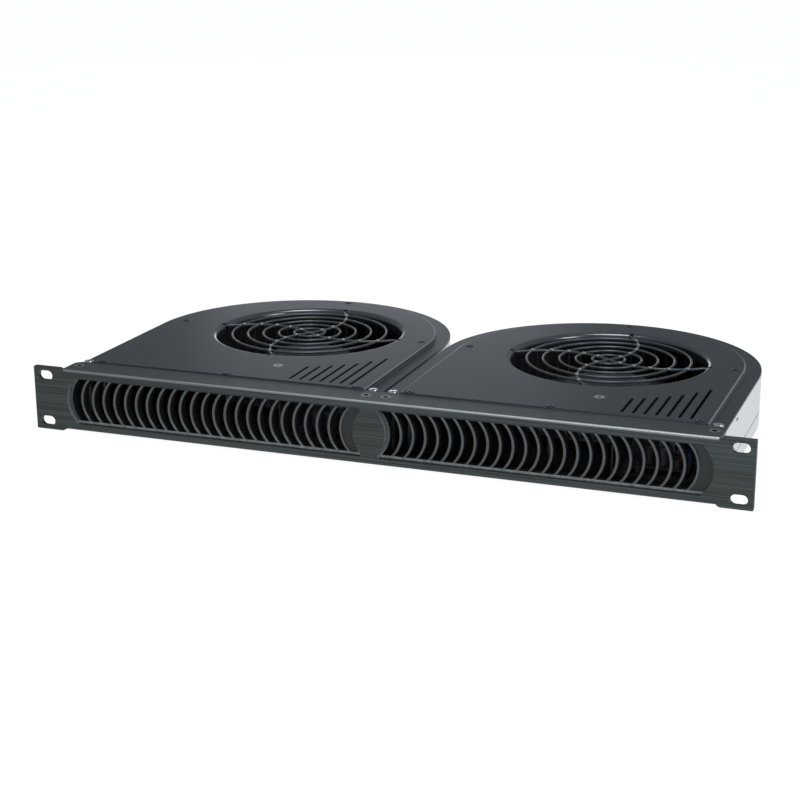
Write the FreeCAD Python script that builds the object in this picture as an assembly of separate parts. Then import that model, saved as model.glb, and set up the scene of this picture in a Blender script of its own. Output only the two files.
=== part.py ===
import FreeCAD, Part
import math
import os
from FreeCAD import Vector

# Rack fan tray, one rack unit high: an extruded front panel with two louvred windows carries two
# D-shaped blower modules, each with a sirocco wheel on an external rotor motor.
# Millimetres. X runs to the right along the panel, Y goes back into the rack, Z is up.
# The origin is the centre of the rack slot pattern on the rear face of the ears.

# ---- front panel -------------------------------------------------------------------------------
PANEL_W = 482.6            # overall width over the ears
PANEL_H = 43.66            # height of the ears
PANEL_T = 3.0              # thickness of the face
EAR_W = 20.8               # ear beyond the flanges, each side
CHANNEL_W = PANEL_W - 2 * EAR_W
CHANNEL_H = 41.7           # height over the flanges
FLANGE_T = 2.0
FLANGE_REACH = 19.5        # flange edge behind the rear face of the panel
FLANGE_CORNER_R = 6.0
CHANNEL_EDGE_R = 2.3       # round along the front edges
CHANNEL_ROOT_R = 1.0       # fillet inside the channel
EAR_STEP_W = 2.2           # slanted step between channel and ear
EAR_CORNER_R = 0.8
SLOT_INSET = 8.75          # slot centres in from the ends of the panel
SLOT_PITCH_X = PANEL_W - 2 * SLOT_INSET
SLOT_PITCH_Z = 31.75
SLOT_L = 10.5
SLOT_H = 6.6

# ---- louvred windows ---------------------------------------------------------------------------
VANE_COUNT = 24            # free vanes in one window
VANE_T = 1.9
VANE_EDGE_R = 0.75         # round of the front edges
VANE_ARC_R = 21.0          # every vane is bent to this radius
WINDOW_START = 12.3        # first end wall, from the middle of the panel
WINDOW_INSET = 4.95        # last end wall, in from the end of the flanges
VANE_PITCH = (CHANNEL_W / 2 - WINDOW_START - WINDOW_INSET) / (VANE_COUNT + 1)
APERTURE_H = 28.8          # clear height between the ledges of the grille
CUTOUT_H = 32.0            # height of the window cut in the panel
CUTOUT_REVEAL = 1.4        # grille face seen beyond each end wall
CUTOUT_CORNER_R = 1.5
GRILLE_H = 33.0
GRILLE_PLATE_T = 2.2
GRILLE_DEPTH = 6.4
GRILLE_SKIRT_T = 1.2
END_WEB_T = 1.2            # web that closes the last gap of a window
END_WEB_SETBACK = 1.0      # web behind the fronts of the vanes
GRILLE_SIDE_GAP = 0.3      # grille plate to the side walls of the housing
GRILLE_PIN_X = 6.2         # inner fixing, from the middle of the panel
GRILLE_PIN_INSET = 2.2     # outer fixings, in from the end of the plate
GRILLE_PIN_Z = 13.5
GRILLE_PIN_R = 1.2
GRILLE_PIN_HEAD_R = 2.1
GRILLE_PIN_HEAD_H = 1.4
GRILLE_PIN_BITE = 2.2      # depth of the fixing in the panel

# ---- blower housing ----------------------------------------------------------------------------
MODULE_SPREAD = 0.15       # each module outwards from the middle of its half of the panel
MODULE_PITCH = CHANNEL_W / 2 + 2 * MODULE_SPREAD
MODULE_SPACE = 2.6         # air between the two modules
MODULE_W = MODULE_PITCH - MODULE_SPACE
HALF_W = MODULE_W / 2
MODULE_FRONT_L = 31.9      # straight sides longer than half the width
MODULE_ARC_Y = HALF_W + MODULE_FRONT_L  # centre of the round back
HOUSING_FRONT = 1.1        # housing edge behind the panel, clear of its root fillet
SHEET_T = 1.0
LID_T = 1.2
LID_STEP = 2.65            # raised plateau above the rim
LID_INSET = 10.35          # rim width
LID_TOP_R = 1.4
LID_ROOT_R = 0.4
PLATEAU_GAP = 0.5          # plateau behind the panel flange
BAND_FLANGE_W = 8.8
SEAM_Z = -7.2
SEAM_GAP = 0.6
LAP_GAP = 0.1              # between the lapped walls
LAP_H = 5.0
LAP_START = 4.0            # the inner tongue begins behind the grille plate
TRAY_EDGE_R = 1.5
SIDE_SLOT_Y = 58.2
SIDE_SLOT_Z = 14.4
SIDE_SLOT_L = 7.0
SIDE_SLOT_H = 1.4

# ---- inlet, guard and slits --------------------------------------------------------------------
FAN_X = 6.8                # fan axis, from the middle of the module
FAN_OFFSET_Y = 3.5         # fan axis behind the centre of the round back
FAN_Y = MODULE_ARC_Y + FAN_OFFSET_Y
THROAT_INSET = 43.1        # inlet throat in from the side wall
THROAT_R = HALF_W - THROAT_INSET
LIP_R = 3.5
LIP_DEPTH = 7.5            # lip from the plateau down to its edge
NOTCH_W = 3.2              # notch in the lip for a leg of the guard
NOTCH_PAST_LIP = 0.3
NOTCH_END_R = THROAT_R + LIP_R + NOTCH_PAST_LIP
WIRE_D = 1.8
RING_COUNT = 5
RING_MARGIN = 10.5         # outermost ring inside the throat
RING_STEP = (THROAT_R - RING_MARGIN) / RING_COUNT
GUARD_DROP = 1.0           # ring centres below the plateau
SPOKE_DROP = 0.3           # spoke centres below the ring centres
SPOKE_LEAD = 40.3          # degrees that a spoke turns on its way out
SPOKE_MARGIN = 1.5         # spoke ends inside the throat
SPOKE_END_R = THROAT_R - SPOKE_MARGIN
EYE_OUTSET = 8.2           # eyes of the guard outside the throat
EYE_R = THROAT_R + EYE_OUTSET
EYE_BORE = 1.7
NUT_R = 3.1
NUT_H = 2.0
STUD_PROUD = 0.3           # stud beyond its nut
SLIT_COUNT = 7
SLIT_INSET = 65.3          # first slit in from the side wall
SLIT_X = HALF_W - SLIT_INSET
SLIT_PITCH = 7.1
SLIT_W = 2.0
SLIT_OFFSET = 6.7          # slits begin behind the panel flange
SLIT_Y = FLANGE_REACH + SLIT_OFFSET
SLIT_OUTSET = 28.8         # slits stop this far outside the throat
SLIT_END_R = THROAT_R + SLIT_OUTSET

# ---- screws ------------------------------------------------------------------------------------
LID_SCREW_INSET = 16.6     # side lid screws in from the side wall
LID_SCREW_X = HALF_W - LID_SCREW_INSET
LID_SCREW_OUTSET = 4.0     # front row of lid screws behind the panel flange
LID_SCREW_FRONT = FLANGE_REACH + LID_SCREW_OUTSET
LID_SCREW_PAST_ARC = 3.4
LID_SCREW_SIDE = MODULE_ARC_Y + LID_SCREW_PAST_ARC
LID_SCREW_REAR_INSET = 15.0
LID_SCREW_REAR = MODULE_ARC_Y + HALF_W - LID_SCREW_REAR_INSET
LID_SCREWS = ((-LID_SCREW_X, LID_SCREW_FRONT), (0.0, LID_SCREW_FRONT), (LID_SCREW_X, LID_SCREW_FRONT),
              (-LID_SCREW_X, LID_SCREW_SIDE), (LID_SCREW_X, LID_SCREW_SIDE), (0.0, LID_SCREW_REAR))
DIMPLE_R = 3.2
DIMPLE_DEPTH = 0.7
LID_SCREW_R = 1.25
LID_SCREW_HEAD_R = 2.5
LID_SCREW_L = 9.0
POST_R = 2.2
EARTH_SCREW = (23.4, 53.2)
EARTH_BOSS_H = 3.0
EARTH_BOSS_R = 4.2
PAN_HEAD_R = 3.2
PAN_HEAD_H = 2.2
SCREW_R = 2.0
SCREW_L = 9.0
CORNER_INSET = 5.4         # corner screws in from the side wall
CORNER_X = HALF_W - CORNER_INSET
CORNER_OUTSET = 3.4        # corner screws behind the panel flange
CORNER_Y = FLANGE_REACH + CORNER_OUTSET
CORNER_POST_R = 3.2
FLANGE_SCREW_INSET = 5.3
FLANGE_SCREW_X = HALF_W - FLANGE_SCREW_INSET
FLANGE_SCREW_Y = 10.2
FLAT_HEAD_R = 3.4
FLAT_HEAD_H = 1.5
CLINCH_R = 3.2
CLINCH_H = 3.0
HOLE_GAP = 0.15            # screw shank to a clearance hole
THREAD_GAP = 0.05          # screw shank to its thread
SOCKET_R = 1.2
SOCKET_DEPTH = 0.8

# ---- wheel and motor ---------------------------------------------------------------------------
WHEEL_INSET = 29.1         # wheel in from half the width of the housing
WHEEL_R = HALF_W - WHEEL_INSET
WHEEL_THROAT_LAP = 2.6     # inner edge of the wheel ring outside the throat
WHEEL_RING_W = WHEEL_R - THROAT_R - WHEEL_THROAT_LAP
WHEEL_RING_T = 1.8
WHEEL_LAP = 1.2            # wheel ring above the edge of the lip
WHEEL_DISC_T = 1.6
WHEEL_FLOOR_GAP = 5.2
BLADE_COUNT = 48
BLADE_T = 0.9
BLADE_INSET = 0.5          # blades inside the edges of the ring
BLADE_SWEEP = 6.5          # degrees from root to tip, leaning with the rotation
BLADE_BELLY = 1.6          # degrees at mid chord
HUB_R = 30.5
HUB_T = 1.6
HUB_TOP_R = 4.0
HUB_ROOT_R = 6.0
ROTOR_GAP = 0.3            # rotor cup to the inside of the hub
ROTOR_R = HUB_R - HUB_T - ROTOR_GAP
ROTOR_T = 1.3
MAGNET_T = 2.2
AIR_GAP = 0.4
STATOR_H = 9.0
COIL_OVERHANG = 2.0
POLE_COUNT = 9
POLE_W = 4.6
TUBE_R = 6.3
TUBE_WALL = 1.75
BEARING_H = 4.0
BEARING_GAP = 0.05
SHAFT_R = 2.0
SHAFT_GAP = 0.05
CLIP_T = 0.5
CLIP_R = 3.4
CLIP_GROOVE = 0.4
BASE_R = 33.0
BASE_T = 2.6
BASE_LUGS = 3
LUG_CENTRE_R = 40.0
LUG_R = 6.5
GROMMET_H = 1.65
DRIVER_RING_T = 1.2
DRIVER_PEG_H = 1.2

# ---- cut-off plate, board, jack and leads ------------------------------------------------------
CUTOFF_GAP = 5.0           # tongue to the wheel
CUTOFF_ANGLE = -66.0
CUTOFF_ARC_OUTSET = 12.0   # arc of the plate larger than the wheel
CUTOFF_ARC_R = WHEEL_R + CUTOFF_ARC_OUTSET
CUTOFF_LEG_END = 14.0
CUTOFF_RUN_OUT = 6.0       # plate end, past the start of the round back
CUTOFF_NOSE_R = 3.0
PLATE_LEG_X = FAN_X + (WHEEL_R + CUTOFF_GAP) * math.cos(math.radians(CUTOFF_ANGLE))
BOARD_PAST_LEG = 8.63      # board beside the straight leg of the plate
BOARD_W = 36.0
BOARD_X = (PLATE_LEG_X + BOARD_PAST_LEG, PLATE_LEG_X + BOARD_PAST_LEG + BOARD_W)
BOARD_OUTSET = 10.5        # board behind the panel flange
BOARD_L = 28.0
BOARD_Y = (FLANGE_REACH + BOARD_OUTSET, FLANGE_REACH + BOARD_OUTSET + BOARD_L)
BOARD_T = 1.6
STANDOFF_H = 3.5
HEADER_W = 7.2
HEADER_L = 6.0
HEADER_H = 4.4
HEADER_INSET = 0.5
PART_ROW = 8.0             # first row of board parts, from the front edge of the board
CAPACITOR_X = (8.0, 18.0)  # from the left edge of the board
CAPACITOR_R = 3.9
CAPACITOR_H = 9.0
COIL_X = 27.0
COIL_R = 4.6
COIL_H = 4.5
TRIMMER_X = 31.0
TRIMMER_Y = 18.0
TRIMMER_W = 7.0
TRIMMER_H = 6.0
REGULATOR_X = 19.0
REGULATOR_Y = 15.5
REGULATOR_W = 10.0
REGULATOR_H = 13.0
FIN_COUNT = 4
FIN_L = 5.0
FIN_T = 0.8
MOTOR_HEADER_X = 9.5       # headers from the left edge of the board
JACK_HEADER_X = 27.0
MOTOR_LEAD_X = BOARD_X[0] + MOTOR_HEADER_X
JACK_LEAD_X = BOARD_X[0] + JACK_HEADER_X
STANDOFF_R = 2.4
STANDOFF_INSET = 3.5
JACK_ANGLE = 60.0
JACK_Z = 5.0
JACK_R = 4.0
JACK_FLANGE_R = 5.6
JACK_FLANGE_T = 1.6
JACK_BODY_L = 12.0
JACK_NUT_T = 2.0
LEAD_D = 2.4

# ---- levels that follow from the sizes above ---------------------------------------------------
FLANGE_TOP = CHANNEL_H / 2
RIM_TOP = FLANGE_TOP - FLANGE_T
RIM_UNDER = RIM_TOP - LID_T
LID_TOP = RIM_TOP + LID_STEP
LID_UNDER = LID_TOP - LID_T
FLOOR_UNDER = -RIM_TOP
FLOOR_TOP = FLOOR_UNDER + SHEET_T
BAND_FLANGE_UNDER = RIM_UNDER - SHEET_T
LIP_EDGE = LID_TOP - LIP_DEPTH
RING_Z = LID_TOP - GUARD_DROP
SPOKE_Z = RING_Z - SPOKE_DROP
LEG_Z = LID_UNDER - WIRE_D / 2 - LAP_GAP
STUD_END = LEG_Z - WIRE_D / 2 - NUT_H - STUD_PROUD
WHEEL_TOP = LIP_EDGE + WHEEL_LAP
DISC_UNDER = FLOOR_TOP + WHEEL_FLOOR_GAP
DISC_TOP = DISC_UNDER + WHEEL_DISC_T
BASE_UNDER = FLOOR_TOP + GROMMET_H
BASE_TOP = BASE_UNDER + BASE_T


def box(x0, x1, y0, y1, z0, z1):
    """A block between two corners."""
    return Part.makeBox(x1 - x0, y1 - y0, z1 - z0, Vector(x0, y0, z0))


def post(x, y, z0, z1, radius):
    """An upright cylinder."""
    return Part.makeCylinder(radius, z1 - z0, Vector(x, y, z0))


def tube(x, y, z0, z1, outer, inner):
    """An upright tube."""
    return post(x, y, z0, z1, outer).cut(post(x, y, z0, z1, inner))


def cone(x, y, z0, z1, r0, r1):
    """An upright cone from radius r0 at z0 to r1 at z1."""
    return Part.makeCone(r0, r1, z1 - z0, Vector(x, y, z0))


def joined(shapes):
    """One solid from overlapping shapes."""
    return shapes[0].multiFuse(shapes[1:]).removeSplitter()


def line(a, b):
    return Part.LineSegment(a, b).toShape()


def arc(a, middle, b):
    return Part.Arc(a, middle, b).toShape()


def face(edges):
    return Part.Face(Part.Wire(edges))


def turned(profile, x, y):
    """A solid of revolution from a closed profile face drawn in the XZ plane about x = 0."""
    solid = profile.revolve(Vector(0, 0, 0), Vector(0, 0, 1), 360)
    solid.translate(Vector(x, y, 0))
    return solid


def edges_at(shape, test):
    return [edge for edge in shape.Edges if test(edge)]


def moved(shape, x):
    return shape.translated(Vector(x, 0, 0))


def mirrored(shape):
    return shape.mirror(Vector(0, 0, 0), Vector(1, 0, 0))


def save(name, solids):
    """Write one node: a single solid, or a group of separate ones."""
    solids = [part for shape in solids for part in shape.Solids]
    for solid in solids:
        if not solid.isValid() or solid.Volume <= 0:
            raise ValueError("bad solid in " + name)
    shape = solids[0] if len(solids) == 1 else Part.makeCompound(solids)
    shape.exportStep("parts/" + name + ".step")


# ---- front panel -------------------------------------------------------------------------------
def window_prism(start, end, height, y0, y1, corner_r=0.0):
    """The right-hand window as a block: flat ledges, both ends bent outwards to the vane radius."""
    half = height / 2
    back = VANE_ARC_R - math.sqrt(VANE_ARC_R ** 2 - half ** 2)
    low_in = Vector(start - back, y0, -half)
    low_out = Vector(end - back, y0, -half)
    top_out = Vector(end - back, y0, half)
    top_in = Vector(start - back, y0, half)
    outline = face([
        line(low_in, low_out),
        arc(low_out, Vector(end, y0, 0), top_out),
        line(top_out, top_in),
        arc(top_in, Vector(start, y0, 0), low_in),
    ])
    prism = outline.extrude(Vector(0, y1 - y0, 0))
    if corner_r:
        sides = edges_at(prism, lambda e: abs(e.BoundBox.YLength - (y1 - y0)) < 1e-6
                         and e.BoundBox.ZLength < 1e-6)
        prism = prism.makeFillet(corner_r, sides)
    return prism


def window_end():
    return WINDOW_START + VANE_PITCH * (VANE_COUNT + 1)


def channel():
    """The extruded C section between the ears, with round front edges."""
    top = CHANNEL_H / 2
    under = top - FLANGE_T
    half = CHANNEL_W / 2
    section = Part.Face(Part.makePolygon([
        Vector(-half, -PANEL_T, -top), Vector(-half, FLANGE_REACH, -top),
        Vector(-half, FLANGE_REACH, -under), Vector(-half, 0, -under),
        Vector(-half, 0, under), Vector(-half, FLANGE_REACH, under),
        Vector(-half, FLANGE_REACH, top), Vector(-half, -PANEL_T, top),
        Vector(-half, -PANEL_T, -top),
    ]))
    body = section.extrude(Vector(CHANNEL_W, 0, 0))
    front = edges_at(body, lambda e: e.BoundBox.XLength > CHANNEL_W - 1
                     and e.CenterOfMass.y < -PANEL_T + 0.01)
    body = body.makeFillet(CHANNEL_EDGE_R, front)
    root = edges_at(body, lambda e: e.BoundBox.XLength > CHANNEL_W - 1
                    and abs(e.CenterOfMass.y) < 0.01 and abs(abs(e.CenterOfMass.z) - under) < 0.01)
    body = body.makeFillet(CHANNEL_ROOT_R, root)
    corners = edges_at(body, lambda e: abs(e.BoundBox.ZLength - FLANGE_T) < 0.01
                       and e.CenterOfMass.y > FLANGE_REACH - 0.01)
    return body.makeFillet(FLANGE_CORNER_R, corners)


def ear():
    """The right-hand ear: full height, stepping down to the channel on a short slant."""
    low = CHANNEL_H / 2
    high = PANEL_H / 2
    inner = CHANNEL_W / 2 - EAR_STEP_W / 2
    outer = PANEL_W / 2
    outline = [(inner, low), (inner + EAR_STEP_W, high), (outer, high),
               (outer, -high), (inner + EAR_STEP_W, -high), (inner, -low)]
    corners = [Vector(x, -PANEL_T, z) for x, z in outline]
    plate = Part.Face(Part.makePolygon(corners + corners[:1])).extrude(Vector(0, PANEL_T, 0))
    tips = edges_at(plate, lambda e: e.BoundBox.YLength > PANEL_T - 0.01
                    and e.CenterOfMass.x > outer - 0.01)
    plate = plate.makeFillet(EAR_CORNER_R, tips)
    for z in (-SLOT_PITCH_Z / 2, SLOT_PITCH_Z / 2):
        plate = plate.cut(rack_slot(SLOT_PITCH_X / 2, z))
    return plate


def rack_slot(x, z):
    reach = (SLOT_L - SLOT_H) / 2
    block = box(x - reach, x + reach, -PANEL_T, 0, z - SLOT_H / 2, z + SLOT_H / 2)
    ends = [Part.makeCylinder(SLOT_H / 2, PANEL_T, Vector(x + side * reach, -PANEL_T, z), Vector(0, 1, 0))
            for side in (-1, 1)]
    return joined([block] + ends)


def grille_pin_places():
    """Fixings of the right-hand grille: one by the middle of the panel, two at the far corners."""
    far = grille_end() - GRILLE_PIN_INSET
    return [(GRILLE_PIN_X, 0.0), (far, GRILLE_PIN_Z), (far, -GRILLE_PIN_Z)]


def grille_end():
    return MODULE_PITCH / 2 + HALF_W - SHEET_T - GRILLE_SIDE_GAP


def grille_start():
    return MODULE_PITCH / 2 - HALF_W + SHEET_T + GRILLE_SIDE_GAP


def flange_screw_places():
    return [(centre + side * FLANGE_SCREW_X, FLANGE_SCREW_Y)
            for centre in (-MODULE_PITCH / 2, MODULE_PITCH / 2) for side in (-1, 1)]


def front_panel():
    body = joined([channel(), ear(), mirrored(ear())])
    window = window_prism(WINDOW_START - CUTOUT_REVEAL, window_end() + CUTOUT_REVEAL, CUTOUT_H,
                          -PANEL_T, 0, CUTOUT_CORNER_R)
    body = body.cut(window).cut(mirrored(window))
    for x, z in grille_pin_places():
        for side in (-1, 1):
            pilot = Part.makeCylinder(GRILLE_PIN_R + THREAD_GAP, GRILLE_PIN_BITE,
                                      Vector(side * x, 0, z), Vector(0, -1, 0))
            body = body.cut(pilot)
    for x, y in flange_screw_places():
        body = body.cut(countersink(x, y, FLANGE_TOP, -1))
        body = body.cut(countersink(x, y, -FLANGE_TOP, 1))
    return body


def countersink(x, y, surface, inward):
    """The hole for a flat head in a sheet or flange: a cone at the surface and a clearance hole."""
    far = inward * (FLANGE_T + SHEET_T + LID_T)
    hole = post(x, y, min(surface, surface + far), max(surface, surface + far), SCREW_R + HOLE_GAP)
    return hole.fuse(head_seat(x, y, surface, inward))


def head_seat(x, y, surface, inward):
    """The cone that a flat head sinks into."""
    mouth = FLAT_HEAD_R + HOLE_GAP
    shank = SCREW_R + HOLE_GAP
    deep = FLAT_HEAD_H + HOLE_GAP
    if inward < 0:
        return cone(x, y, surface - deep, surface, shank, mouth)
    return cone(x, y, surface, surface + deep, mouth, shank)


# ---- grille ------------------------------------------------------------------------------------
def vane(x):
    """One vane: a thick arc drawn out to the rear, its front edges rounded."""
    centre = x - VANE_ARC_R
    half = APERTURE_H / 2 + GRILLE_SKIRT_T / 2
    outer = VANE_ARC_R + VANE_T / 2
    inner = VANE_ARC_R - VANE_T / 2
    outer_x = centre + math.sqrt(outer ** 2 - half ** 2)
    inner_x = centre + math.sqrt(inner ** 2 - half ** 2)
    outline = face([
        arc(Vector(outer_x, 0, -half), Vector(centre + outer, 0, 0), Vector(outer_x, 0, half)),
        line(Vector(outer_x, 0, half), Vector(inner_x, 0, half)),
        arc(Vector(inner_x, 0, half), Vector(centre + inner, 0, 0), Vector(inner_x, 0, -half)),
        line(Vector(inner_x, 0, -half), Vector(outer_x, 0, -half)),
    ])
    blade = outline.extrude(Vector(0, GRILLE_DEPTH, 0))
    front = edges_at(blade, lambda e: e.BoundBox.YLength < 1e-6 and e.CenterOfMass.y < 0.01
                     and e.BoundBox.ZLength > half)
    return blade.makeFillet(VANE_EDGE_R, front)


def grille(web_start):
    """A right-hand moulded grille: a plate behind the panel, a skirt, the free vanes and an end web."""
    plate = box(grille_start(), grille_end(), 0, GRILLE_PLATE_T, -GRILLE_H / 2, GRILLE_H / 2)
    wall = VANE_T / 2
    skirt = window_prism(WINDOW_START + wall - GRILLE_SKIRT_T, window_end() - wall + GRILLE_SKIRT_T,
                         APERTURE_H + 2 * GRILLE_SKIRT_T, 0, GRILLE_DEPTH)
    opening = window_prism(WINDOW_START + wall, window_end() - wall, APERTURE_H, 0, GRILLE_DEPTH)
    frame = joined([plate, skirt]).cut(opening)
    for x, z in grille_pin_places():
        frame = frame.cut(Part.makeCylinder(GRILLE_PIN_R + HOLE_GAP, GRILLE_PLATE_T, Vector(x, 0, z),
                                            Vector(0, 1, 0)))
    vanes = [vane(WINDOW_START + VANE_PITCH * (k + 1)) for k in range(VANE_COUNT)]
    web = window_prism(web_start, web_start + VANE_PITCH, APERTURE_H + GRILLE_SKIRT_T,
                       END_WEB_SETBACK, END_WEB_SETBACK + END_WEB_T)
    return joined([frame, web] + vanes)


def grille_pins():
    pins = []
    for x, z in grille_pin_places():
        shank = Part.makeCylinder(GRILLE_PIN_R, GRILLE_PLATE_T + GRILLE_PIN_BITE,
                                  Vector(x, -GRILLE_PIN_BITE, z), Vector(0, 1, 0))
        head = Part.makeCylinder(GRILLE_PIN_HEAD_R, GRILLE_PIN_HEAD_H, Vector(x, GRILLE_PLATE_T, z),
                                 Vector(0, 1, 0))
        pins.append(shank.fuse(head).removeSplitter())
    return pins + [mirrored(pin) for pin in pins]


# ---- housing -----------------------------------------------------------------------------------
def d_prism(half, front, z0, z1):
    """A block with the D outline of the module, its round back about the same centre."""
    outline = face([
        line(Vector(-half, front, z0), Vector(half, front, z0)),
        line(Vector(half, front, z0), Vector(half, MODULE_ARC_Y, z0)),
        arc(Vector(half, MODULE_ARC_Y, z0), Vector(0, MODULE_ARC_Y + half, z0),
            Vector(-half, MODULE_ARC_Y, z0)),
        line(Vector(-half, MODULE_ARC_Y, z0), Vector(-half, front, z0)),
    ])
    return outline.extrude(Vector(0, 0, z1 - z0))


def d_wall(outer, inner, z0, z1, front=HOUSING_FRONT):
    """An upright wall round the D, open at the front."""
    return d_prism(outer, front, z0, z1).cut(d_prism(inner, front, z0, z1))


def flat_edges(shape, z):
    return edges_at(shape, lambda e: e.BoundBox.ZLength < 1e-6 and abs(e.CenterOfMass.z - z) < 1e-6)


def lip_profile():
    """Rolled inlet lip: a bent sheet section from the plateau down to the throat."""
    start = THROAT_R + LIP_R
    middle = LID_TOP - LIP_R
    inner_r = LIP_R - LID_T
    slant = math.sqrt(0.5)
    top = Vector(start, 0, LID_TOP)
    side = Vector(THROAT_R, 0, middle)
    under = Vector(start, 0, LID_UNDER)
    rear = Vector(THROAT_R + LID_T, 0, middle)
    return face([
        arc(top, Vector(start - LIP_R * slant, 0, middle + LIP_R * slant), side),
        line(side, Vector(THROAT_R, 0, LIP_EDGE)),
        line(Vector(THROAT_R, 0, LIP_EDGE), Vector(THROAT_R + LID_T, 0, LIP_EDGE)),
        line(Vector(THROAT_R + LID_T, 0, LIP_EDGE), rear),
        arc(rear, Vector(start - inner_r * slant, 0, middle + inner_r * slant), under),
        line(under, top),
    ])


def around_fan(radius, degrees):
    """A point about the fan axis, in module coordinates."""
    angle = math.radians(degrees)
    return FAN_X + radius * math.cos(angle), FAN_Y + radius * math.sin(angle)


def slit(x):
    """A ventilation slit with round ends, stopping short of the inlet circle."""
    rear = FAN_Y - math.sqrt(SLIT_END_R ** 2 - (x - FAN_X) ** 2)
    half = SLIT_W / 2
    middle = box(x - half, x + half, SLIT_Y + half, rear - half, LID_UNDER, LID_TOP)
    ends = [post(x, y, LID_UNDER, LID_TOP, half) for y in (SLIT_Y + half, rear - half)]
    return joined([middle] + ends)


def lid():
    """The pressed lid: rim, raised plateau, rolled inlet lip, slits and screw dimples."""
    plateau_front = FLANGE_REACH + PLATEAU_GAP
    half = HALF_W - LID_INSET
    rim = d_prism(HALF_W, HOUSING_FRONT, RIM_UNDER, RIM_TOP)
    raised = d_prism(half, plateau_front, RIM_UNDER, LID_TOP)
    raised = raised.makeFillet(LID_TOP_R, flat_edges(raised, LID_TOP))
    hollow = d_prism(half - LID_T, plateau_front + LID_T, RIM_UNDER, LID_UNDER)
    shell = joined([rim, raised])
    root = edges_at(shell, lambda e: e.BoundBox.ZLength < 1e-6 and abs(e.CenterOfMass.z - RIM_TOP) < 1e-6
                    and e.BoundBox.XMax < HALF_W - 1 and e.BoundBox.XMin > 1 - HALF_W
                    and e.BoundBox.YMax < MODULE_ARC_Y + HALF_W - 1
                    and e.BoundBox.YMin > HOUSING_FRONT + 1)
    shell = shell.makeFillet(LID_ROOT_R, root).cut(hollow)
    shell = shell.cut(post(FAN_X, FAN_Y, RIM_UNDER, LID_TOP, THROAT_R + LIP_R))
    shell = shell.fuse(turned(lip_profile(), FAN_X, FAN_Y))
    bosses = [post(x, y, LID_UNDER - DIMPLE_DEPTH, LID_UNDER, DIMPLE_R) for x, y in LID_SCREWS]
    bosses.append(post(*EARTH_SCREW, LID_UNDER - EARTH_BOSS_H, LID_UNDER, EARTH_BOSS_R))
    for spoke in range(4):
        x, y = around_fan(EYE_R, 90 * spoke)
        bosses.append(post(x, y, STUD_END, LID_UNDER, EYE_BORE - HOLE_GAP))
    shell = joined([shell] + bosses)
    cuts = [slit(SLIT_X + SLIT_PITCH * k) for k in range(SLIT_COUNT)]
    for x, y in LID_SCREWS:
        cuts.append(cone(x, y, LID_TOP - DIMPLE_DEPTH, LID_TOP, LID_SCREW_HEAD_R + HOLE_GAP, DIMPLE_R))
        cuts.append(post(x, y, LID_UNDER - DIMPLE_DEPTH, LID_TOP, LID_SCREW_R + HOLE_GAP))
    cuts.append(post(*EARTH_SCREW, LID_UNDER - EARTH_BOSS_H, LID_TOP, SCREW_R + THREAD_GAP))
    cuts.append(cone(*EARTH_SCREW, LID_TOP - FLAT_HEAD_H - HOLE_GAP, LID_TOP, SCREW_R + THREAD_GAP,
                     FLAT_HEAD_R + HOLE_GAP))
    for side in (-1, 1):
        cuts.append(post(side * CORNER_X, CORNER_Y, RIM_UNDER, RIM_TOP, SCREW_R + HOLE_GAP))
        cuts.append(post(side * FLANGE_SCREW_X, FLANGE_SCREW_Y, RIM_UNDER, RIM_TOP, SCREW_R + HOLE_GAP))
    for spoke in range(4):
        notch = box(THROAT_R - 1, NOTCH_END_R, -NOTCH_W / 2, NOTCH_W / 2, LIP_EDGE, LID_TOP)
        notch.rotate(Vector(0, 0, 0), Vector(0, 0, 1), 90 * spoke)
        cuts.append(notch.translated(Vector(FAN_X, FAN_Y, 0)))
    return shell.cut(cuts).removeSplitter()


def wall_band():
    """Upper wall of the housing with an inward flange under the rim of the lid."""
    wall = d_wall(HALF_W, HALF_W - SHEET_T, SEAM_Z + SEAM_GAP / 2, RIM_UNDER)
    ledge = d_wall(HALF_W, HALF_W - BAND_FLANGE_W, BAND_FLANGE_UNDER, RIM_UNDER)
    band = joined([wall, ledge])
    cuts = []
    for side in (-1, 1):
        for x, y in ((CORNER_X, CORNER_Y), (FLANGE_SCREW_X, FLANGE_SCREW_Y)):
            cuts.append(post(side * x, y, BAND_FLANGE_UNDER, RIM_UNDER, SCREW_R + HOLE_GAP))
    cuts.append(box(HALF_W - SHEET_T, HALF_W, SIDE_SLOT_Y - SIDE_SLOT_L / 2, SIDE_SLOT_Y + SIDE_SLOT_L / 2,
                    SIDE_SLOT_Z - SIDE_SLOT_H / 2, SIDE_SLOT_Z + SIDE_SLOT_H / 2))
    cuts.append(radial_rod(HALF_W - 2 * SHEET_T, HALF_W + SHEET_T, JACK_R + HOLE_GAP))
    return band.cut(cuts)


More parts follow.
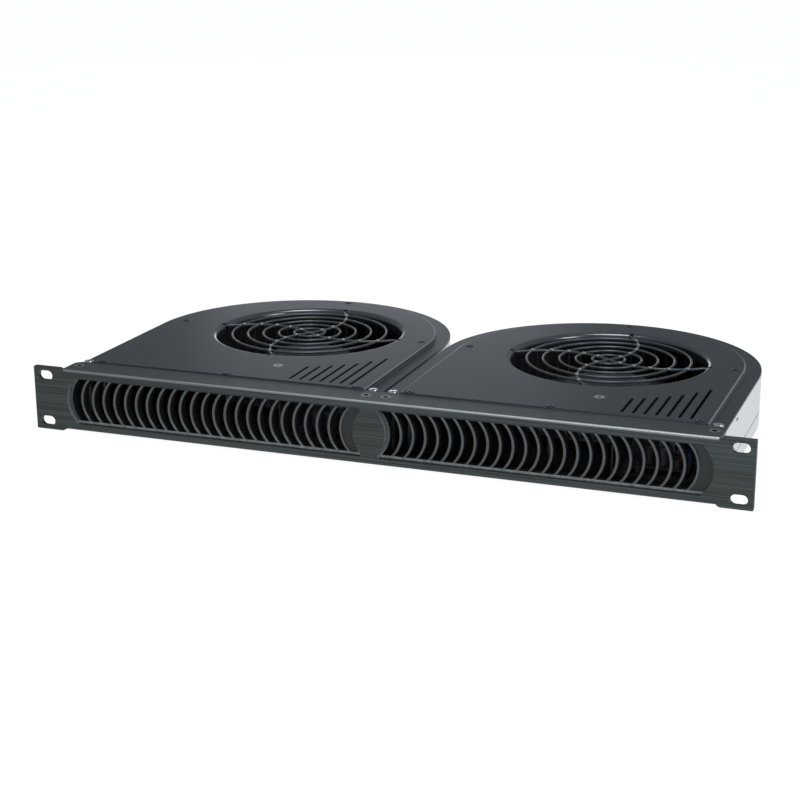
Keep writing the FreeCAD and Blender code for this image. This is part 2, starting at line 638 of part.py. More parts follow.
def bottom_tray():
    """Lower pan: floor, a wall up to the seam, and an inner tongue lapped behind the upper wall."""
    shoulder = SEAM_Z - SEAM_GAP / 2
    pan = d_prism(HALF_W, HOUSING_FRONT, FLOOR_UNDER, shoulder)
    bottom = edges_at(pan, lambda e: e.BoundBox.ZLength < 1e-6 and abs(e.CenterOfMass.z - FLOOR_UNDER) < 1e-6
                      and e.CenterOfMass.y > HOUSING_FRONT + 1)
    pan = pan.makeFillet(TRAY_EDGE_R, bottom)
    room = d_prism(HALF_W - SHEET_T, HOUSING_FRONT, FLOOR_TOP, shoulder)
    floor_edge = edges_at(room, lambda e: e.BoundBox.ZLength < 1e-6
                          and abs(e.CenterOfMass.z - FLOOR_TOP) < 1e-6
                          and e.CenterOfMass.y > HOUSING_FRONT + 1)
    room = room.makeFillet(TRAY_EDGE_R - SHEET_T, floor_edge)
    pan = pan.cut(room)
    tongue_out = HALF_W - SHEET_T - LAP_GAP
    joggle = d_wall(HALF_W - SHEET_T, tongue_out - SHEET_T, shoulder - 2 * SHEET_T, shoulder, LAP_START)
    tongue = d_wall(tongue_out, tongue_out - SHEET_T, shoulder - 2 * SHEET_T, shoulder + LAP_H, LAP_START)
    pan = joined([pan, joggle, tongue])
    for side in (-1, 1):
        pan = pan.cut(countersink(side * CORNER_X, CORNER_Y, FLOOR_UNDER, 1))
        pan = pan.cut(post(side * FLANGE_SCREW_X, FLANGE_SCREW_Y, FLOOR_UNDER, FLOOR_TOP,
                           SCREW_R + HOLE_GAP))
    for x, y in lug_places():
        pan = pan.cut(countersink(x, y, FLOOR_UNDER, 1))
    return pan


def lid_posts():
    """Round posts from the tray floor to the dimples of the lid, tapped from the top."""
    top = LID_UNDER - DIMPLE_DEPTH
    thread = LID_SCREW_R + THREAD_GAP
    return [post(x, y, FLOOR_TOP, top, POST_R).cut(post(x, y, top - LID_SCREW_L, top, thread))
            for x, y in LID_SCREWS]


def corner_posts():
    """Two stout posts behind the panel flanges, tapped from both ends."""
    posts = []
    for side in (-1, 1):
        body = post(side * CORNER_X, CORNER_Y, FLOOR_TOP, BAND_FLANGE_UNDER, CORNER_POST_R)
        body = body.cut(post(side * CORNER_X, CORNER_Y, FLOOR_TOP, BAND_FLANGE_UNDER, SCREW_R + THREAD_GAP))
        posts.append(body.cut(head_seat(side * CORNER_X, CORNER_Y, FLOOR_UNDER, 1)))
    return posts


# ---- fasteners ---------------------------------------------------------------------------------
def pan_screw(x, y, seat, length, shank_r, head_r, head_h):
    """A pan head with a cross recess in place of its slot, standing on the seat."""
    head = post(x, y, seat, seat + head_h, head_r)
    rim = edges_at(head, lambda e: abs(e.CenterOfMass.z - seat - head_h) < 1e-6
                   and e.BoundBox.ZLength < 1e-6)
    head = head.makeFillet(head_h * 0.45, rim)
    body = head.fuse(post(x, y, seat - length, seat, shank_r)).removeSplitter()
    slot_w = head_r * 0.32
    reach = head_r * 0.62
    depth = head_h * 0.6
    for wide, long in ((slot_w, reach * 2), (reach * 2, slot_w)):
        body = body.cut(box(x - wide / 2, x + wide / 2, y - long / 2, y + long / 2,
                            seat + head_h - depth, seat + head_h))
    return body


def flat_screw(x, y, surface, inward, length):
    """A countersunk screw flush with the surface, with a round socket."""
    tip = surface + inward * length
    shank = post(x, y, min(surface, tip), max(surface, tip), SCREW_R)
    if inward < 0:
        head = cone(x, y, surface - FLAT_HEAD_H, surface, SCREW_R, FLAT_HEAD_R)
        socket = post(x, y, surface - SOCKET_DEPTH, surface, SOCKET_R)
    else:
        head = cone(x, y, surface, surface + FLAT_HEAD_H, FLAT_HEAD_R, SCREW_R)
        socket = post(x, y, surface, surface + SOCKET_DEPTH, SOCKET_R)
    return shank.fuse(head).removeSplitter().cut(socket)


def lid_screws():
    seat = LID_TOP - DIMPLE_DEPTH
    return [pan_screw(x, y, seat, LID_SCREW_L, LID_SCREW_R, LID_SCREW_HEAD_R, DIMPLE_DEPTH * 1.4)
            for x, y in LID_SCREWS]


def earth_screw():
    return [flat_screw(*EARTH_SCREW, LID_TOP, -1, EARTH_BOSS_H + LID_T)]


def corner_screws():
    return [pan_screw(side * CORNER_X, CORNER_Y, RIM_TOP, SCREW_L, SCREW_R, PAN_HEAD_R, PAN_HEAD_H)
            for side in (-1, 1)]


def tray_screws():
    return [flat_screw(side * CORNER_X, CORNER_Y, FLOOR_UNDER, 1, SCREW_L) for side in (-1, 1)]


def flange_screws():
    length = FLANGE_T + LID_T + SHEET_T + CLINCH_H
    low_length = FLANGE_T + SHEET_T + CLINCH_H
    screws = []
    for x, y in flange_screw_places():
        screws.append(flat_screw(x, y, FLANGE_TOP, -1, length))
        screws.append(flat_screw(x, y, -FLANGE_TOP, 1, low_length))
    return screws


def clinch_nuts():
    """Round nuts pressed into the housing behind the flange screws."""
    nuts = []
    for side in (-1, 1):
        x = side * FLANGE_SCREW_X
        for z0 in (BAND_FLANGE_UNDER - CLINCH_H, FLOOR_TOP):
            nuts.append(tube(x, FLANGE_SCREW_Y, z0, z0 + CLINCH_H, CLINCH_R, SCREW_R + THREAD_GAP))
    return nuts


def guard_nuts():
    """Hexagon nuts that hold the guard eyes on the studs of the lid."""
    nuts = []
    top = LEG_Z - WIRE_D / 2
    for spoke in range(4):
        x, y = around_fan(EYE_R, 90 * spoke)
        corners = [Vector(x + NUT_R * math.cos(math.pi * k / 3), y + NUT_R * math.sin(math.pi * k / 3),
                          top - NUT_H) for k in range(7)]
        blank = Part.Face(Part.makePolygon(corners)).extrude(Vector(0, 0, NUT_H))
        nuts.append(blank.cut(post(x, y, top - NUT_H, top, EYE_BORE - HOLE_GAP + THREAD_GAP)))
    return nuts


# ---- guard -------------------------------------------------------------------------------------
def wire_ring(radius, x, y, z):
    return Part.makeTorus(radius, WIRE_D / 2, Vector(x, y, z), Vector(0, 0, 1))


def guard_spoke():
    """One spoke: a flat arc from the middle, a short drop to the leg, and an eye on the stud."""
    wire_r = WIRE_D / 2
    bend_r = SPOKE_END_R / (2 * math.sin(math.radians(SPOKE_LEAD)))
    swing = math.radians(SPOKE_LEAD)
    heading = Vector(math.cos(swing), -math.sin(swing), 0)
    section = face([Part.Circle(Vector(0, 0, SPOKE_Z), heading, wire_r).toShape()])
    centre = Vector(SPOKE_END_R / 2, bend_r * math.cos(swing), SPOKE_Z)
    flat = section.revolve(centre, Vector(0, 0, 1), 2 * SPOKE_LEAD)
    end = Vector(SPOKE_END_R, 0, SPOKE_Z)
    leg_path = [end, Vector(NOTCH_END_R, 0, LEG_Z), Vector(EYE_R - EYE_BORE - wire_r, 0, LEG_Z)]
    pieces = [flat]
    for a, b in zip(leg_path, leg_path[1:]):
        pieces.append(Part.makeCylinder(wire_r, (b - a).Length, a, b - a))
    pieces += [Part.makeSphere(wire_r, point) for point in leg_path[:2]]
    pieces.append(wire_ring(EYE_BORE + wire_r, EYE_R, 0, LEG_Z))
    return pieces


def fan_guard():
    """Welded wire guard: five rings on four swept spokes."""
    pieces = [wire_ring(RING_STEP * (k + 1), 0, 0, RING_Z) for k in range(RING_COUNT)]
    pieces.append(Part.makeSphere(WIRE_D / 2, Vector(0, 0, SPOKE_Z)))
    for quarter in range(4):
        for piece in guard_spoke():
            copy = piece.copy()
            copy.rotate(Vector(0, 0, 0), Vector(0, 0, 1), 90 * quarter)
            pieces.append(copy)
    return joined(pieces).translated(Vector(FAN_X, FAN_Y, 0))


# ---- wheel -------------------------------------------------------------------------------------
def blade():
    """One forward-curved blade between two arcs, drawn upright from the disc into the ring."""
    root_r = WHEEL_R - WHEEL_RING_W + BLADE_INSET
    tip_r = WHEEL_R - BLADE_INSET
    middle_r = (root_r + tip_r) / 2
    half = math.degrees(BLADE_T / 2 / middle_r)
    foot = DISC_TOP - WHEEL_DISC_T / 2

    def at(radius, degrees):
        angle = math.radians(degrees)
        return Vector(radius * math.cos(angle), radius * math.sin(angle), foot)

    back = [at(root_r, -half), at(middle_r, BLADE_BELLY - half), at(tip_r, BLADE_SWEEP - half)]
    front = [at(tip_r, BLADE_SWEEP + half), at(middle_r, BLADE_BELLY + half), at(root_r, half)]
    outline = face([arc(*back), line(back[2], front[0]), arc(*front), line(front[2], back[0])])
    return outline.extrude(Vector(0, 0, WHEEL_TOP - WHEEL_RING_T / 2 - foot))


def hub():
    """The dished hub over the rotor, flowing out into the wheel disc."""
    top = DISC_TOP + rotor_height() + HUB_T
    inner = HUB_R - HUB_T
    slant = math.sqrt(0.5)
    crown = Vector(HUB_R - HUB_TOP_R, 0, top)
    shoulder = Vector(HUB_R, 0, top - HUB_TOP_R)
    crown_mid = Vector(HUB_R - HUB_TOP_R * (1 - slant), 0, top - HUB_TOP_R * (1 - slant))
    foot = Vector(HUB_R, 0, DISC_TOP + HUB_ROOT_R)
    toe = Vector(HUB_R + HUB_ROOT_R, 0, DISC_TOP)
    foot_mid = Vector(HUB_R + HUB_ROOT_R * (1 - slant), 0, DISC_TOP + HUB_ROOT_R * (1 - slant))
    rim = WHEEL_R
    return face([
        line(Vector(0, 0, top), crown), arc(crown, crown_mid, shoulder), line(shoulder, foot),
        arc(foot, foot_mid, toe), line(toe, Vector(rim, 0, DISC_TOP)),
        line(Vector(rim, 0, DISC_TOP), Vector(rim, 0, DISC_UNDER)),
        line(Vector(rim, 0, DISC_UNDER), Vector(inner, 0, DISC_UNDER)),
        line(Vector(inner, 0, DISC_UNDER), Vector(inner, 0, top - HUB_T)),
        line(Vector(inner, 0, top - HUB_T), Vector(0, 0, top - HUB_T)),
        line(Vector(0, 0, top - HUB_T), Vector(0, 0, top)),
    ])


def rotor_height():
    """Height of the rotor cup above the top of the wheel disc."""
    return STATOR_H + 2 * COIL_OVERHANG + ROTOR_T


def impeller():
    """Sirocco wheel: hub and disc, a ring at the inlet side, and the blades between them."""
    inner = WHEEL_R - WHEEL_RING_W
    ring = tube(0, 0, WHEEL_TOP - WHEEL_RING_T, WHEEL_TOP, WHEEL_R, inner)
    blades = []
    for k in range(BLADE_COUNT):
        copy = blade()
        copy.rotate(Vector(0, 0, 0), Vector(0, 0, 1), 360 * k / BLADE_COUNT)
        blades.append(copy)
    wheel = joined([turned(hub(), 0, 0), ring] + blades)
    return wheel.translated(Vector(FAN_X, FAN_Y, 0))


# ---- motor -------------------------------------------------------------------------------------
def rotor_ceiling():
    return DISC_TOP + rotor_height() - ROTOR_T


def rotor_cup():
    """Drawn steel cup with the boss that grips the shaft."""
    top = DISC_TOP + rotor_height()
    shell = post(FAN_X, FAN_Y, DISC_TOP, top, ROTOR_R)
    shell = shell.cut(post(FAN_X, FAN_Y, DISC_TOP, top - ROTOR_T, ROTOR_R - ROTOR_T))
    boss = post(FAN_X, FAN_Y, top - ROTOR_T - COIL_OVERHANG / 2, top, 2 * SHAFT_R)
    return joined([shell, boss]).cut(post(FAN_X, FAN_Y, DISC_TOP, top, SHAFT_R))


def magnet_ring():
    outer = ROTOR_R - ROTOR_T
    return tube(FAN_X, FAN_Y, DISC_TOP + AIR_GAP, rotor_ceiling() - COIL_OVERHANG / 2, outer,
                outer - MAGNET_T)


def stator_radius():
    return ROTOR_R - ROTOR_T - MAGNET_T - AIR_GAP


def stator_floor():
    return rotor_ceiling() - COIL_OVERHANG - STATOR_H


def stator_core():
    """Laminated core: a yoke on the bearing tube and nine T-shaped poles."""
    z0 = stator_floor()
    z1 = z0 + STATOR_H
    outer = stator_radius()
    pole_face = tube(0, 0, z0, z1, outer, outer - 2 * ROTOR_T)
    gaps = []
    poles = []
    for k in range(POLE_COUNT):
        turn = 360 * k / POLE_COUNT
        pole = box(TUBE_R, outer - ROTOR_T, -POLE_W / 2, POLE_W / 2, z0, z1)
        pole.rotate(Vector(0, 0, 0), Vector(0, 0, 1), turn)
        poles.append(pole)
        gap = box(outer - 3 * ROTOR_T, outer + 1, -1, 1, z0, z1)
        gap.rotate(Vector(0, 0, 0), Vector(0, 0, 1), turn + 180 / POLE_COUNT)
        gaps.append(gap)
    yoke = tube(0, 0, z0, z1, TUBE_R + 3 * ROTOR_T, TUBE_R + BEARING_GAP)
    core = joined([pole_face.cut(gaps), yoke] + poles)
    core = core.cut(post(0, 0, z0, z1, TUBE_R + BEARING_GAP))
    return core.translated(Vector(FAN_X, FAN_Y, 0))


def stator_windings():
    """One coil round each pole, standing clear of the core by the insulation."""
    z0 = stator_floor()
    z1 = z0 + STATOR_H
    inner = TUBE_R + 4 * ROTOR_T
    outer = stator_radius() - 3 * ROTOR_T
    gap = BEARING_GAP * 2
    thick = COIL_OVERHANG - AIR_GAP
    coils = []
    for k in range(POLE_COUNT):
        half = POLE_W / 2 + gap
        grow = min(thick, inner * math.tan(math.pi / POLE_COUNT) - half - gap)
        coil = box(inner, outer, -half - grow, half + grow, z0 - thick, z1 + thick)
        coil = coil.cut(box(inner, outer, -half, half, z0 - gap, z1 + gap))
        coil.rotate(Vector(0, 0, 0), Vector(0, 0, 1), 360 * k / POLE_COUNT)
        coils.append(coil.translated(Vector(FAN_X, FAN_Y, 0)))
    return coils


def lug_places():
    return [around_fan(LUG_CENTRE_R, 90 + 360 * k / BASE_LUGS) for k in range(BASE_LUGS)]


def bearing_levels():
    """Undersides of the lower and the upper ball bearing."""
    low = BASE_TOP + SHEET_T
    return [low, stator_floor() + STATOR_H - BEARING_H]


def motor_base():
    """Die-cast base: three lugs, driver pegs and the tube that holds both bearings."""
    low, high = bearing_levels()
    plate = post(FAN_X, FAN_Y, BASE_UNDER, BASE_TOP, BASE_R)
    pieces = [plate]
    for x, y in lug_places():
        pieces.append(post(x, y, BASE_UNDER, BASE_TOP, LUG_R))
    for k in range(3):
        x, y = around_fan(driver_ring_r() - 2 * SHEET_T, 30 + 120 * k)
        pieces.append(post(x, y, BASE_TOP, BASE_TOP + DRIVER_PEG_H, SHEET_T * 1.5))
    pieces.append(post(FAN_X, FAN_Y, BASE_TOP, high + BEARING_H, TUBE_R))
    base = joined(pieces)
    seat = TUBE_R - TUBE_WALL
    base = base.cut(post(FAN_X, FAN_Y, low, low + BEARING_H, seat))
    base = base.cut(post(FAN_X, FAN_Y, BASE_UNDER, low, seat))
    base = base.cut(post(FAN_X, FAN_Y, low + BEARING_H, high, seat - SHEET_T))
    base = base.cut(post(FAN_X, FAN_Y, high, high + BEARING_H, seat))
    for x, y in lug_places():
        base = base.cut(post(x, y, BASE_UNDER, BASE_TOP, SCREW_R + THREAD_GAP))
    return base


def bearings():
    outer = TUBE_R - TUBE_WALL - BEARING_GAP
    return [tube(FAN_X, FAN_Y, z, z + BEARING_H, outer, SHAFT_R + SHAFT_GAP) for z in bearing_levels()]


def shaft():
    """Ground shaft with a groove for the retaining clip under the lower bearing."""
    clip_top = bearing_levels()[0] - BEARING_GAP
    rod = post(FAN_X, FAN_Y, clip_top - 2 * CLIP_T - SHEET_T, DISC_TOP + rotor_height(), SHAFT_R)
    return rod.cut(tube(FAN_X, FAN_Y, clip_top - CLIP_T, clip_top, SHAFT_R + 1, SHAFT_R - CLIP_GROOVE))


def shaft_clip():
    """Open retaining ring in the groove of the shaft."""
    top = bearing_levels()[0] - BEARING_GAP
    ring = tube(FAN_X, FAN_Y, top - CLIP_T, top, CLIP_R, SHAFT_R - CLIP_GROOVE)
    return ring.cut(box(FAN_X, FAN_X + CLIP_R, FAN_Y - SHEET_T, FAN_Y + SHEET_T, top - CLIP_T, top))


def driver_ring_r():
    return ROTOR_R - ROTOR_T - MAGNET_T


def motor_driver():
    """Ring-shaped driver board under the stator, with its sensor and switching chips."""
    z0 = BASE_TOP + DRIVER_PEG_H
    board = tube(FAN_X, FAN_Y, z0, z0 + DRIVER_RING_T, driver_ring_r(), TUBE_R + LAP_GAP)
    chips = []
    for degrees, wide in ((-90, 5.0), (150, 3.6), (30, 3.6)):
        x, y = around_fan(driver_ring_r() * 0.65, degrees)
        chips.append(box(x - wide / 2, x + wide / 2, y - 1.8, y + 1.8, z0 + DRIVER_RING_T / 2,
                         z0 + DRIVER_RING_T + 0.4))
    return joined([board] + chips)


def motor_grommets():
    bore = SCREW_R + HOLE_GAP
    return [tube(x, y, FLOOR_TOP, BASE_UNDER, LUG_R - 1, bore).cut(head_seat(x, y, FLOOR_UNDER, 1))
            for x, y in lug_places()]


def motor_screws():
    length = SHEET_T + GROMMET_H + BASE_T
    return [flat_screw(x, y, FLOOR_UNDER, 1, length) for x, y in lug_places()]


# ---- cut-off plate, board, jack and leads ------------------------------------------------------
def cutoff_centre():
    """Centre of the plate's arc: it runs tangent into the side wall and passes the tongue."""
    x = HALF_W - 3 * (SHEET_T + LAP_GAP) - CUTOFF_ARC_R
    tip_x, tip_y = around_fan(WHEEL_R + CUTOFF_GAP, CUTOFF_ANGLE)
    return x, tip_y + math.sqrt(CUTOFF_ARC_R ** 2 - (tip_x - x) ** 2)


def plate_crossing(points):
    """Where the route of a lead passes through the arc of the cut-off plate."""
    middle = Vector(*cutoff_centre(), 0)
    places = [Vector(x, y, 0) for x, y, _ in points]
    outside = [(place - middle).Length - CUTOFF_ARC_R - SHEET_T / 2 for place in places]
    k = next(i for i in range(len(places) - 1) if outside[i] < 0 <= outside[i + 1])
    return places[k] + (places[k + 1] - places[k]) * (outside[k] / (outside[k] - outside[k + 1]))


def cutoff_plate():
    """Sheet that parts the air stream: an arc round the wheel, a tongue, and a straight leg."""
    x, y = cutoff_centre()
    tip_x, tip_y = around_fan(WHEEL_R + CUTOFF_GAP, CUTOFF_ANGLE)
    low = FLOOR_TOP
    high = LID_UNDER - LAP_GAP
    strip = tube(x, y, low, high, CUTOFF_ARC_R + SHEET_T, CUTOFF_ARC_R)
    strip = strip.common(box(tip_x, x + CUTOFF_ARC_R + SHEET_T, tip_y - CUTOFF_ARC_R,
                             MODULE_ARC_Y + CUTOFF_RUN_OUT, low, high))
    leg = box(tip_x, tip_x + SHEET_T, CUTOFF_LEG_END, tip_y, low, high)
    plate = joined([strip, leg])
    nose = edges_at(plate, lambda e: e.BoundBox.ZLength > high - low - 0.01
                    and abs(e.CenterOfMass.x - tip_x) < 1e-3 and e.CenterOfMass.y > CUTOFF_LEG_END + 1)
    plate = plate.makeFillet(CUTOFF_NOSE_R, nose)
    foot = box(tip_x, tip_x + 3 * CUTOFF_NOSE_R, CUTOFF_LEG_END + 6, tip_y - 14, low, low + SHEET_T)
    plate = joined([plate, foot])
    under_ledge = box(HALF_W - LID_INSET - LID_T - LAP_GAP, HALF_W, 0, y, BAND_FLANGE_UNDER - LAP_GAP, high)
    under_rim = box(0, HALF_W, 0, FLANGE_REACH + PLATEAU_GAP + LID_T + LAP_GAP, RIM_UNDER - LAP_GAP, high)
    plate = plate.cut([under_ledge, under_rim])
    wide = 2 * LEAD_D
    long = 3 * wide
    for hole in (plate_crossing(motor_lead_points()), plate_crossing(jack_lead_points())):
        plate = plate.cut(box(hole.x - wide, hole.x + wide, hole.y - long, hole.y + long, low, low + wide))
    return plate


def header_block(x, grow=0.0):
    """The header that a lead plugs into, on the rear edge of the board."""
    top = FLOOR_TOP + STANDOFF_H + BOARD_T
    rear = BOARD_Y[1] - HEADER_INSET
    half = HEADER_W / 2 + grow
    return box(x - half, x + half, rear - HEADER_L, rear + grow, top - BOARD_T / 4, top + HEADER_H)


def speed_board():
    """Fan speed board: headers, reservoir capacitors, a finned regulator, a coil and a trimmer."""
    (x0, x1), (y0, y1) = BOARD_X, BOARD_Y
    z0 = FLOOR_TOP + STANDOFF_H
    top = z0 + BOARD_T
    sunk = top - BOARD_T / 4
    pieces = [box(x0, x1, y0, y1, z0, top), header_block(MOTOR_LEAD_X), header_block(JACK_LEAD_X)]
    for x in CAPACITOR_X:
        pieces.append(post(x0 + x, y0 + PART_ROW, sunk, top + CAPACITOR_H, CAPACITOR_R))
    pieces.append(post(x0 + COIL_X, y0 + PART_ROW, sunk, top + COIL_H, COIL_R))
    half = TRIMMER_W / 2
    x, y = x0 + TRIMMER_X, y0 + TRIMMER_Y
    pieces.append(box(x - half, x + half, y - half, y + half, sunk, top + TRIMMER_H))
    x, y = x0 + REGULATOR_X - REGULATOR_W / 2, y0 + REGULATOR_Y
    pieces.append(box(x, x + REGULATOR_W, y - FIN_T, y + FIN_T, sunk, top + REGULATOR_H))
    for k in range(FIN_COUNT):
        fin = x + (REGULATOR_W - FIN_T) * k / (FIN_COUNT - 1)
        pieces.append(box(fin, fin + FIN_T, y, y + FIN_L, top + FIN_T, top + REGULATOR_H))
    board = joined(pieces)
    for x, y in standoff_places():
        board = board.cut(post(x, y, z0, top, STANDOFF_R / 2 + LAP_GAP))
    return board


def standoff_places():
    (x0, x1), (y0, y1) = BOARD_X, BOARD_Y
    return [(x, y) for x in (x0 + STANDOFF_INSET, x1 - STANDOFF_INSET)
            for y in (y0 + STANDOFF_INSET, y1 - STANDOFF_INSET)]


def board_standoffs():
    """Moulded standoffs that snap through the board."""
    z0 = FLOOR_TOP + STANDOFF_H
    stand = []
    for x, y in standoff_places():
        stem = post(x, y, FLOOR_TOP, z0, STANDOFF_R)
        peg = post(x, y, z0, z0 + BOARD_T + 1.2, STANDOFF_R / 2)
        stand.append(stem.fuse(peg).removeSplitter())
    return stand


def radial_rod(r0, r1, radius):
    """A rod at the jack's place, pointing at the centre of the round back."""
    angle = math.radians(JACK_ANGLE)
    heading = Vector(math.cos(angle), math.sin(angle), 0)
    return Part.makeCylinder(radius, r1 - r0, Vector(0, MODULE_ARC_Y, JACK_Z) + heading * r0, heading)


def power_jack():
    """Panel jack: a flange outside the wall, a threaded body through it, a socket and its pin."""
    tail = HALF_W - JACK_BODY_L
    face_r = HALF_W + JACK_FLANGE_T
    body = joined([radial_rod(HALF_W, face_r, JACK_FLANGE_R), radial_rod(tail, HALF_W, JACK_R)])
    body = body.cut(radial_rod(tail + 2 * SHEET_T, face_r, JACK_R * 0.7))
    return joined([body, radial_rod(tail + SHEET_T, face_r - SHEET_T, JACK_R * 0.26)])


def jack_nut():
    """Round nut on the inside of the curved wall, off it by the wall's rise across the nut."""
    inside = math.sqrt((HALF_W - SHEET_T) ** 2 - JACK_FLANGE_R ** 2) - BEARING_GAP
    outer = radial_rod(inside - JACK_NUT_T, inside, JACK_FLANGE_R)
    return outer.cut(radial_rod(inside - JACK_NUT_T, inside, JACK_R + THREAD_GAP))


def about_arc(radius, degrees, z):
    angle = math.radians(degrees)
    return (radius * math.cos(angle), MODULE_ARC_Y + radius * math.sin(angle), z)


def header_mouth(x):
    """Where a lead ends, just inside its header on the board."""
    return (x, BOARD_Y[1] - HEADER_INSET - LEAD_D / 2, FLOOR_TOP + STANDOFF_H + BOARD_T + HEADER_H / 2)


def motor_lead_points():
    """Route from the motor base over the tray floor, under the cut-off plate, up to its header.

    The rows are a share of the straight way, then sideways and up from the floor in lead diameters.
    """
    x, y = around_fan(BASE_R - LEAD_D / 2, -50)
    end = header_mouth(MOTOR_LEAD_X)
    along = Vector(end[0] - x, end[1] - y, 0)
    aside = Vector(-along.y, along.x, 0).normalize() * LEAD_D
    points = [(x, y, (BASE_UNDER + BASE_TOP) / 2)]
    for share, off, rise in ((0.2067, 0.979, 0.8125), (0.4163, 1.792, 0.5625), (0.5977, 1.8625, 0.604),
                             (0.7321, 1.942, 0.5625), (0.8358, 1.6875, 1.229), (0.9202, 1.117, 2.604)):
        place = Vector(x, y, FLOOR_TOP + rise * LEAD_D) + along * share + aside * off
        points.append((place.x, place.y, place.z))
    return points + [end]


def jack_lead_points():
    """Route from the jack down to the floor, round the wall, past the cut-off plate to its header.

    Round the wall the rows are degrees, inwards in jack lengths, up from the floor in lead diameters.
    After it they are shares of the way left across and along, and up from the floor.
    """
    end = header_mouth(JACK_LEAD_X)
    points = [about_arc(HALF_W - 0.875 * JACK_BODY_L, JACK_ANGLE, JACK_Z - JACK_R + LEAD_D / 2)]
    for degrees, inward, rise in ((59.4, 0.8667, 4.9375), (56, 0.8417, 2.0208), (48, 0.7583, 0.6458),
                                  (38, 0.7083, 0.5625), (26, 0.675, 0.604), (13, 0.65, 0.5625),
                                  (1, 0.6583, 0.604)):
        points.append(about_arc(HALF_W - inward * JACK_BODY_L, degrees, FLOOR_TOP + rise * LEAD_D))
    x, y, _ = points[-1]
    for across, onward, rise in ((0.946, 0.76, 0.5625), (0.764, 0.54, 0.604), (0.475, 0.355, 0.5625),
                                 (0.227, 0.2335, 0.604), (0.083, 0.1526, 1.104), (0.0165, 0.0798, 2.4375)):
        points.append((end[0] + (x - end[0]) * across, end[1] + (y - end[1]) * onward,
                       FLOOR_TOP + rise * LEAD_D))
    return points + [end]


def lead(points):
    """A round lead: straight runs joined by the largest tangent arcs that they leave room for."""
    corners = [Vector(*point) for point in points]
    at = corners[0]
    edges = []
    radii = []
    for before, corner, after in zip(corners, corners[1:], corners[2:]):
        arrive = (corner - before).normalize()
        leave = (after - corner).normalize()
        reach = 0.45 * min((corner - before).Length, (after - corner).Length)
        half = arrive.getAngle(leave) / 2
        radius = reach / math.tan(half)
        centre = corner + (leave - arrive).normalize() * (radius / math.cos(half))
        enter = corner - arrive * reach
        exit_point = corner + leave * reach
        middle = centre + (corner - centre).normalize() * radius
        edges += [line(at, enter), arc(enter, middle, exit_point)]
        radii.append(round(radius, 1))
        at = exit_point
    edges.append(line(at, corners[-1]))
    path = Part.Wire(edges)
    section = Part.Wire([Part.Circle(corners[0], corners[1] - corners[0], LEAD_D / 2).toShape()])
    solid = path.makePipeShell([section], True, False)
    expected = math.pi * LEAD_D ** 2 / 4 * path.Length
    print("lead", round(path.Length, 1), "mm, arcs", radii, "volume ratio", round(solid.Volume / expected, 4))
    return solid


def motor_lead():
    """Lead of the motor, its ends flush with the base and the header."""
    base = post(FAN_X, FAN_Y, BASE_UNDER, BASE_TOP, BASE_R + THREAD_GAP)
    return lead(motor_lead_points()).cut([base, header_block(MOTOR_LEAD_X, THREAD_GAP)])


def jack_lead():
    """Lead of the jack, its ends flush with the jack's body and the header."""
    jack = radial_rod(HALF_W - JACK_BODY_L, HALF_W, JACK_R + THREAD_GAP)
    return lead(jack_lead_points()).cut([jack, header_block(JACK_LEAD_X, THREAD_GAP)])


# ---- nodes -------------------------------------------------------------------------------------
MODULE_PIECES = {
    "lid": lid,
    "wall_band": wall_band,
    "bottom_tray": bottom_tray,
    "lid_posts": lid_posts,
    "corner_posts": corner_posts,
    "fan_guard": fan_guard,
    "impeller": impeller,
    "rotor_cup": rotor_cup,
    "magnet_ring": magnet_ring,
    "shaft": shaft,
    "shaft_clip": shaft_clip,
    "bearings": bearings,
    "stator_core": stator_core,
    "stator_windings": stator_windings,
    "motor_driver": motor_driver,
    "motor_base": motor_base,
    "motor_grommets": motor_grommets,
    "cutoff_plate": cutoff_plate,
    "speed_board": speed_board,
    "board_standoffs": board_standoffs,
    "power_jack": power_jack,
    "motor_lead": motor_lead,
    "jack_lead": jack_lead,
}
SHARED_PIECES = {
    "lid_screws": lid_screws,
    "earth_screws": earth_screw,
    "corner_screws": corner_screws,
    "tray_screws": tray_screws,
    "clinch_nuts": clinch_nuts,
    "guard_nuts": guard_nuts,
    "motor_screws": motor_screws,
    "jack_nuts": jack_nut,
}


def main():
    os.makedirs("parts", exist_ok=True)
    save("front_panel", [front_panel()])
    save("grille_right", [grille(window_end() - VANE_PITCH)])
    save("grille_left", [mirrored(grille(WINDOW_START))])
    save("grille_pins", grille_pins())
    save("flange_screws", flange_screws())
    places = {"left": -MODULE_PITCH / 2, "right": MODULE_PITCH / 2}
    for name, make in MODULE_PIECES.items():
        made = make()
        solids = made if isinstance(made, list) else [made]
        for side, x in places.items():
            save(name + "_" + side, [moved(solid, x) for solid in solids])
    for name, make in SHARED_PIECES.items():
        made = make()
        solids = made if isinstance(made, list) else [made]
        save(name, [moved(solid, x) for x in places.values() for solid in solids])


main()
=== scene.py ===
"""Dresses a one-unit rack fan tray.

The CAD pieces get their finishes, the screws are modelled with their threads and drives, the guards get
their weld nuggets, and a white studio with soft lamps and a camera is set up round the tray. Sizes are in
metres.
"""

import logging
import math
from collections.abc import Callable
from dataclasses import dataclass, field
from enum import Enum
from functools import cached_property

import bpy
from bpy.types import Material, Mesh, MeshPolygon, Node, NodeSocket, NodeTree, Object
from mathutils import Matrix, Vector


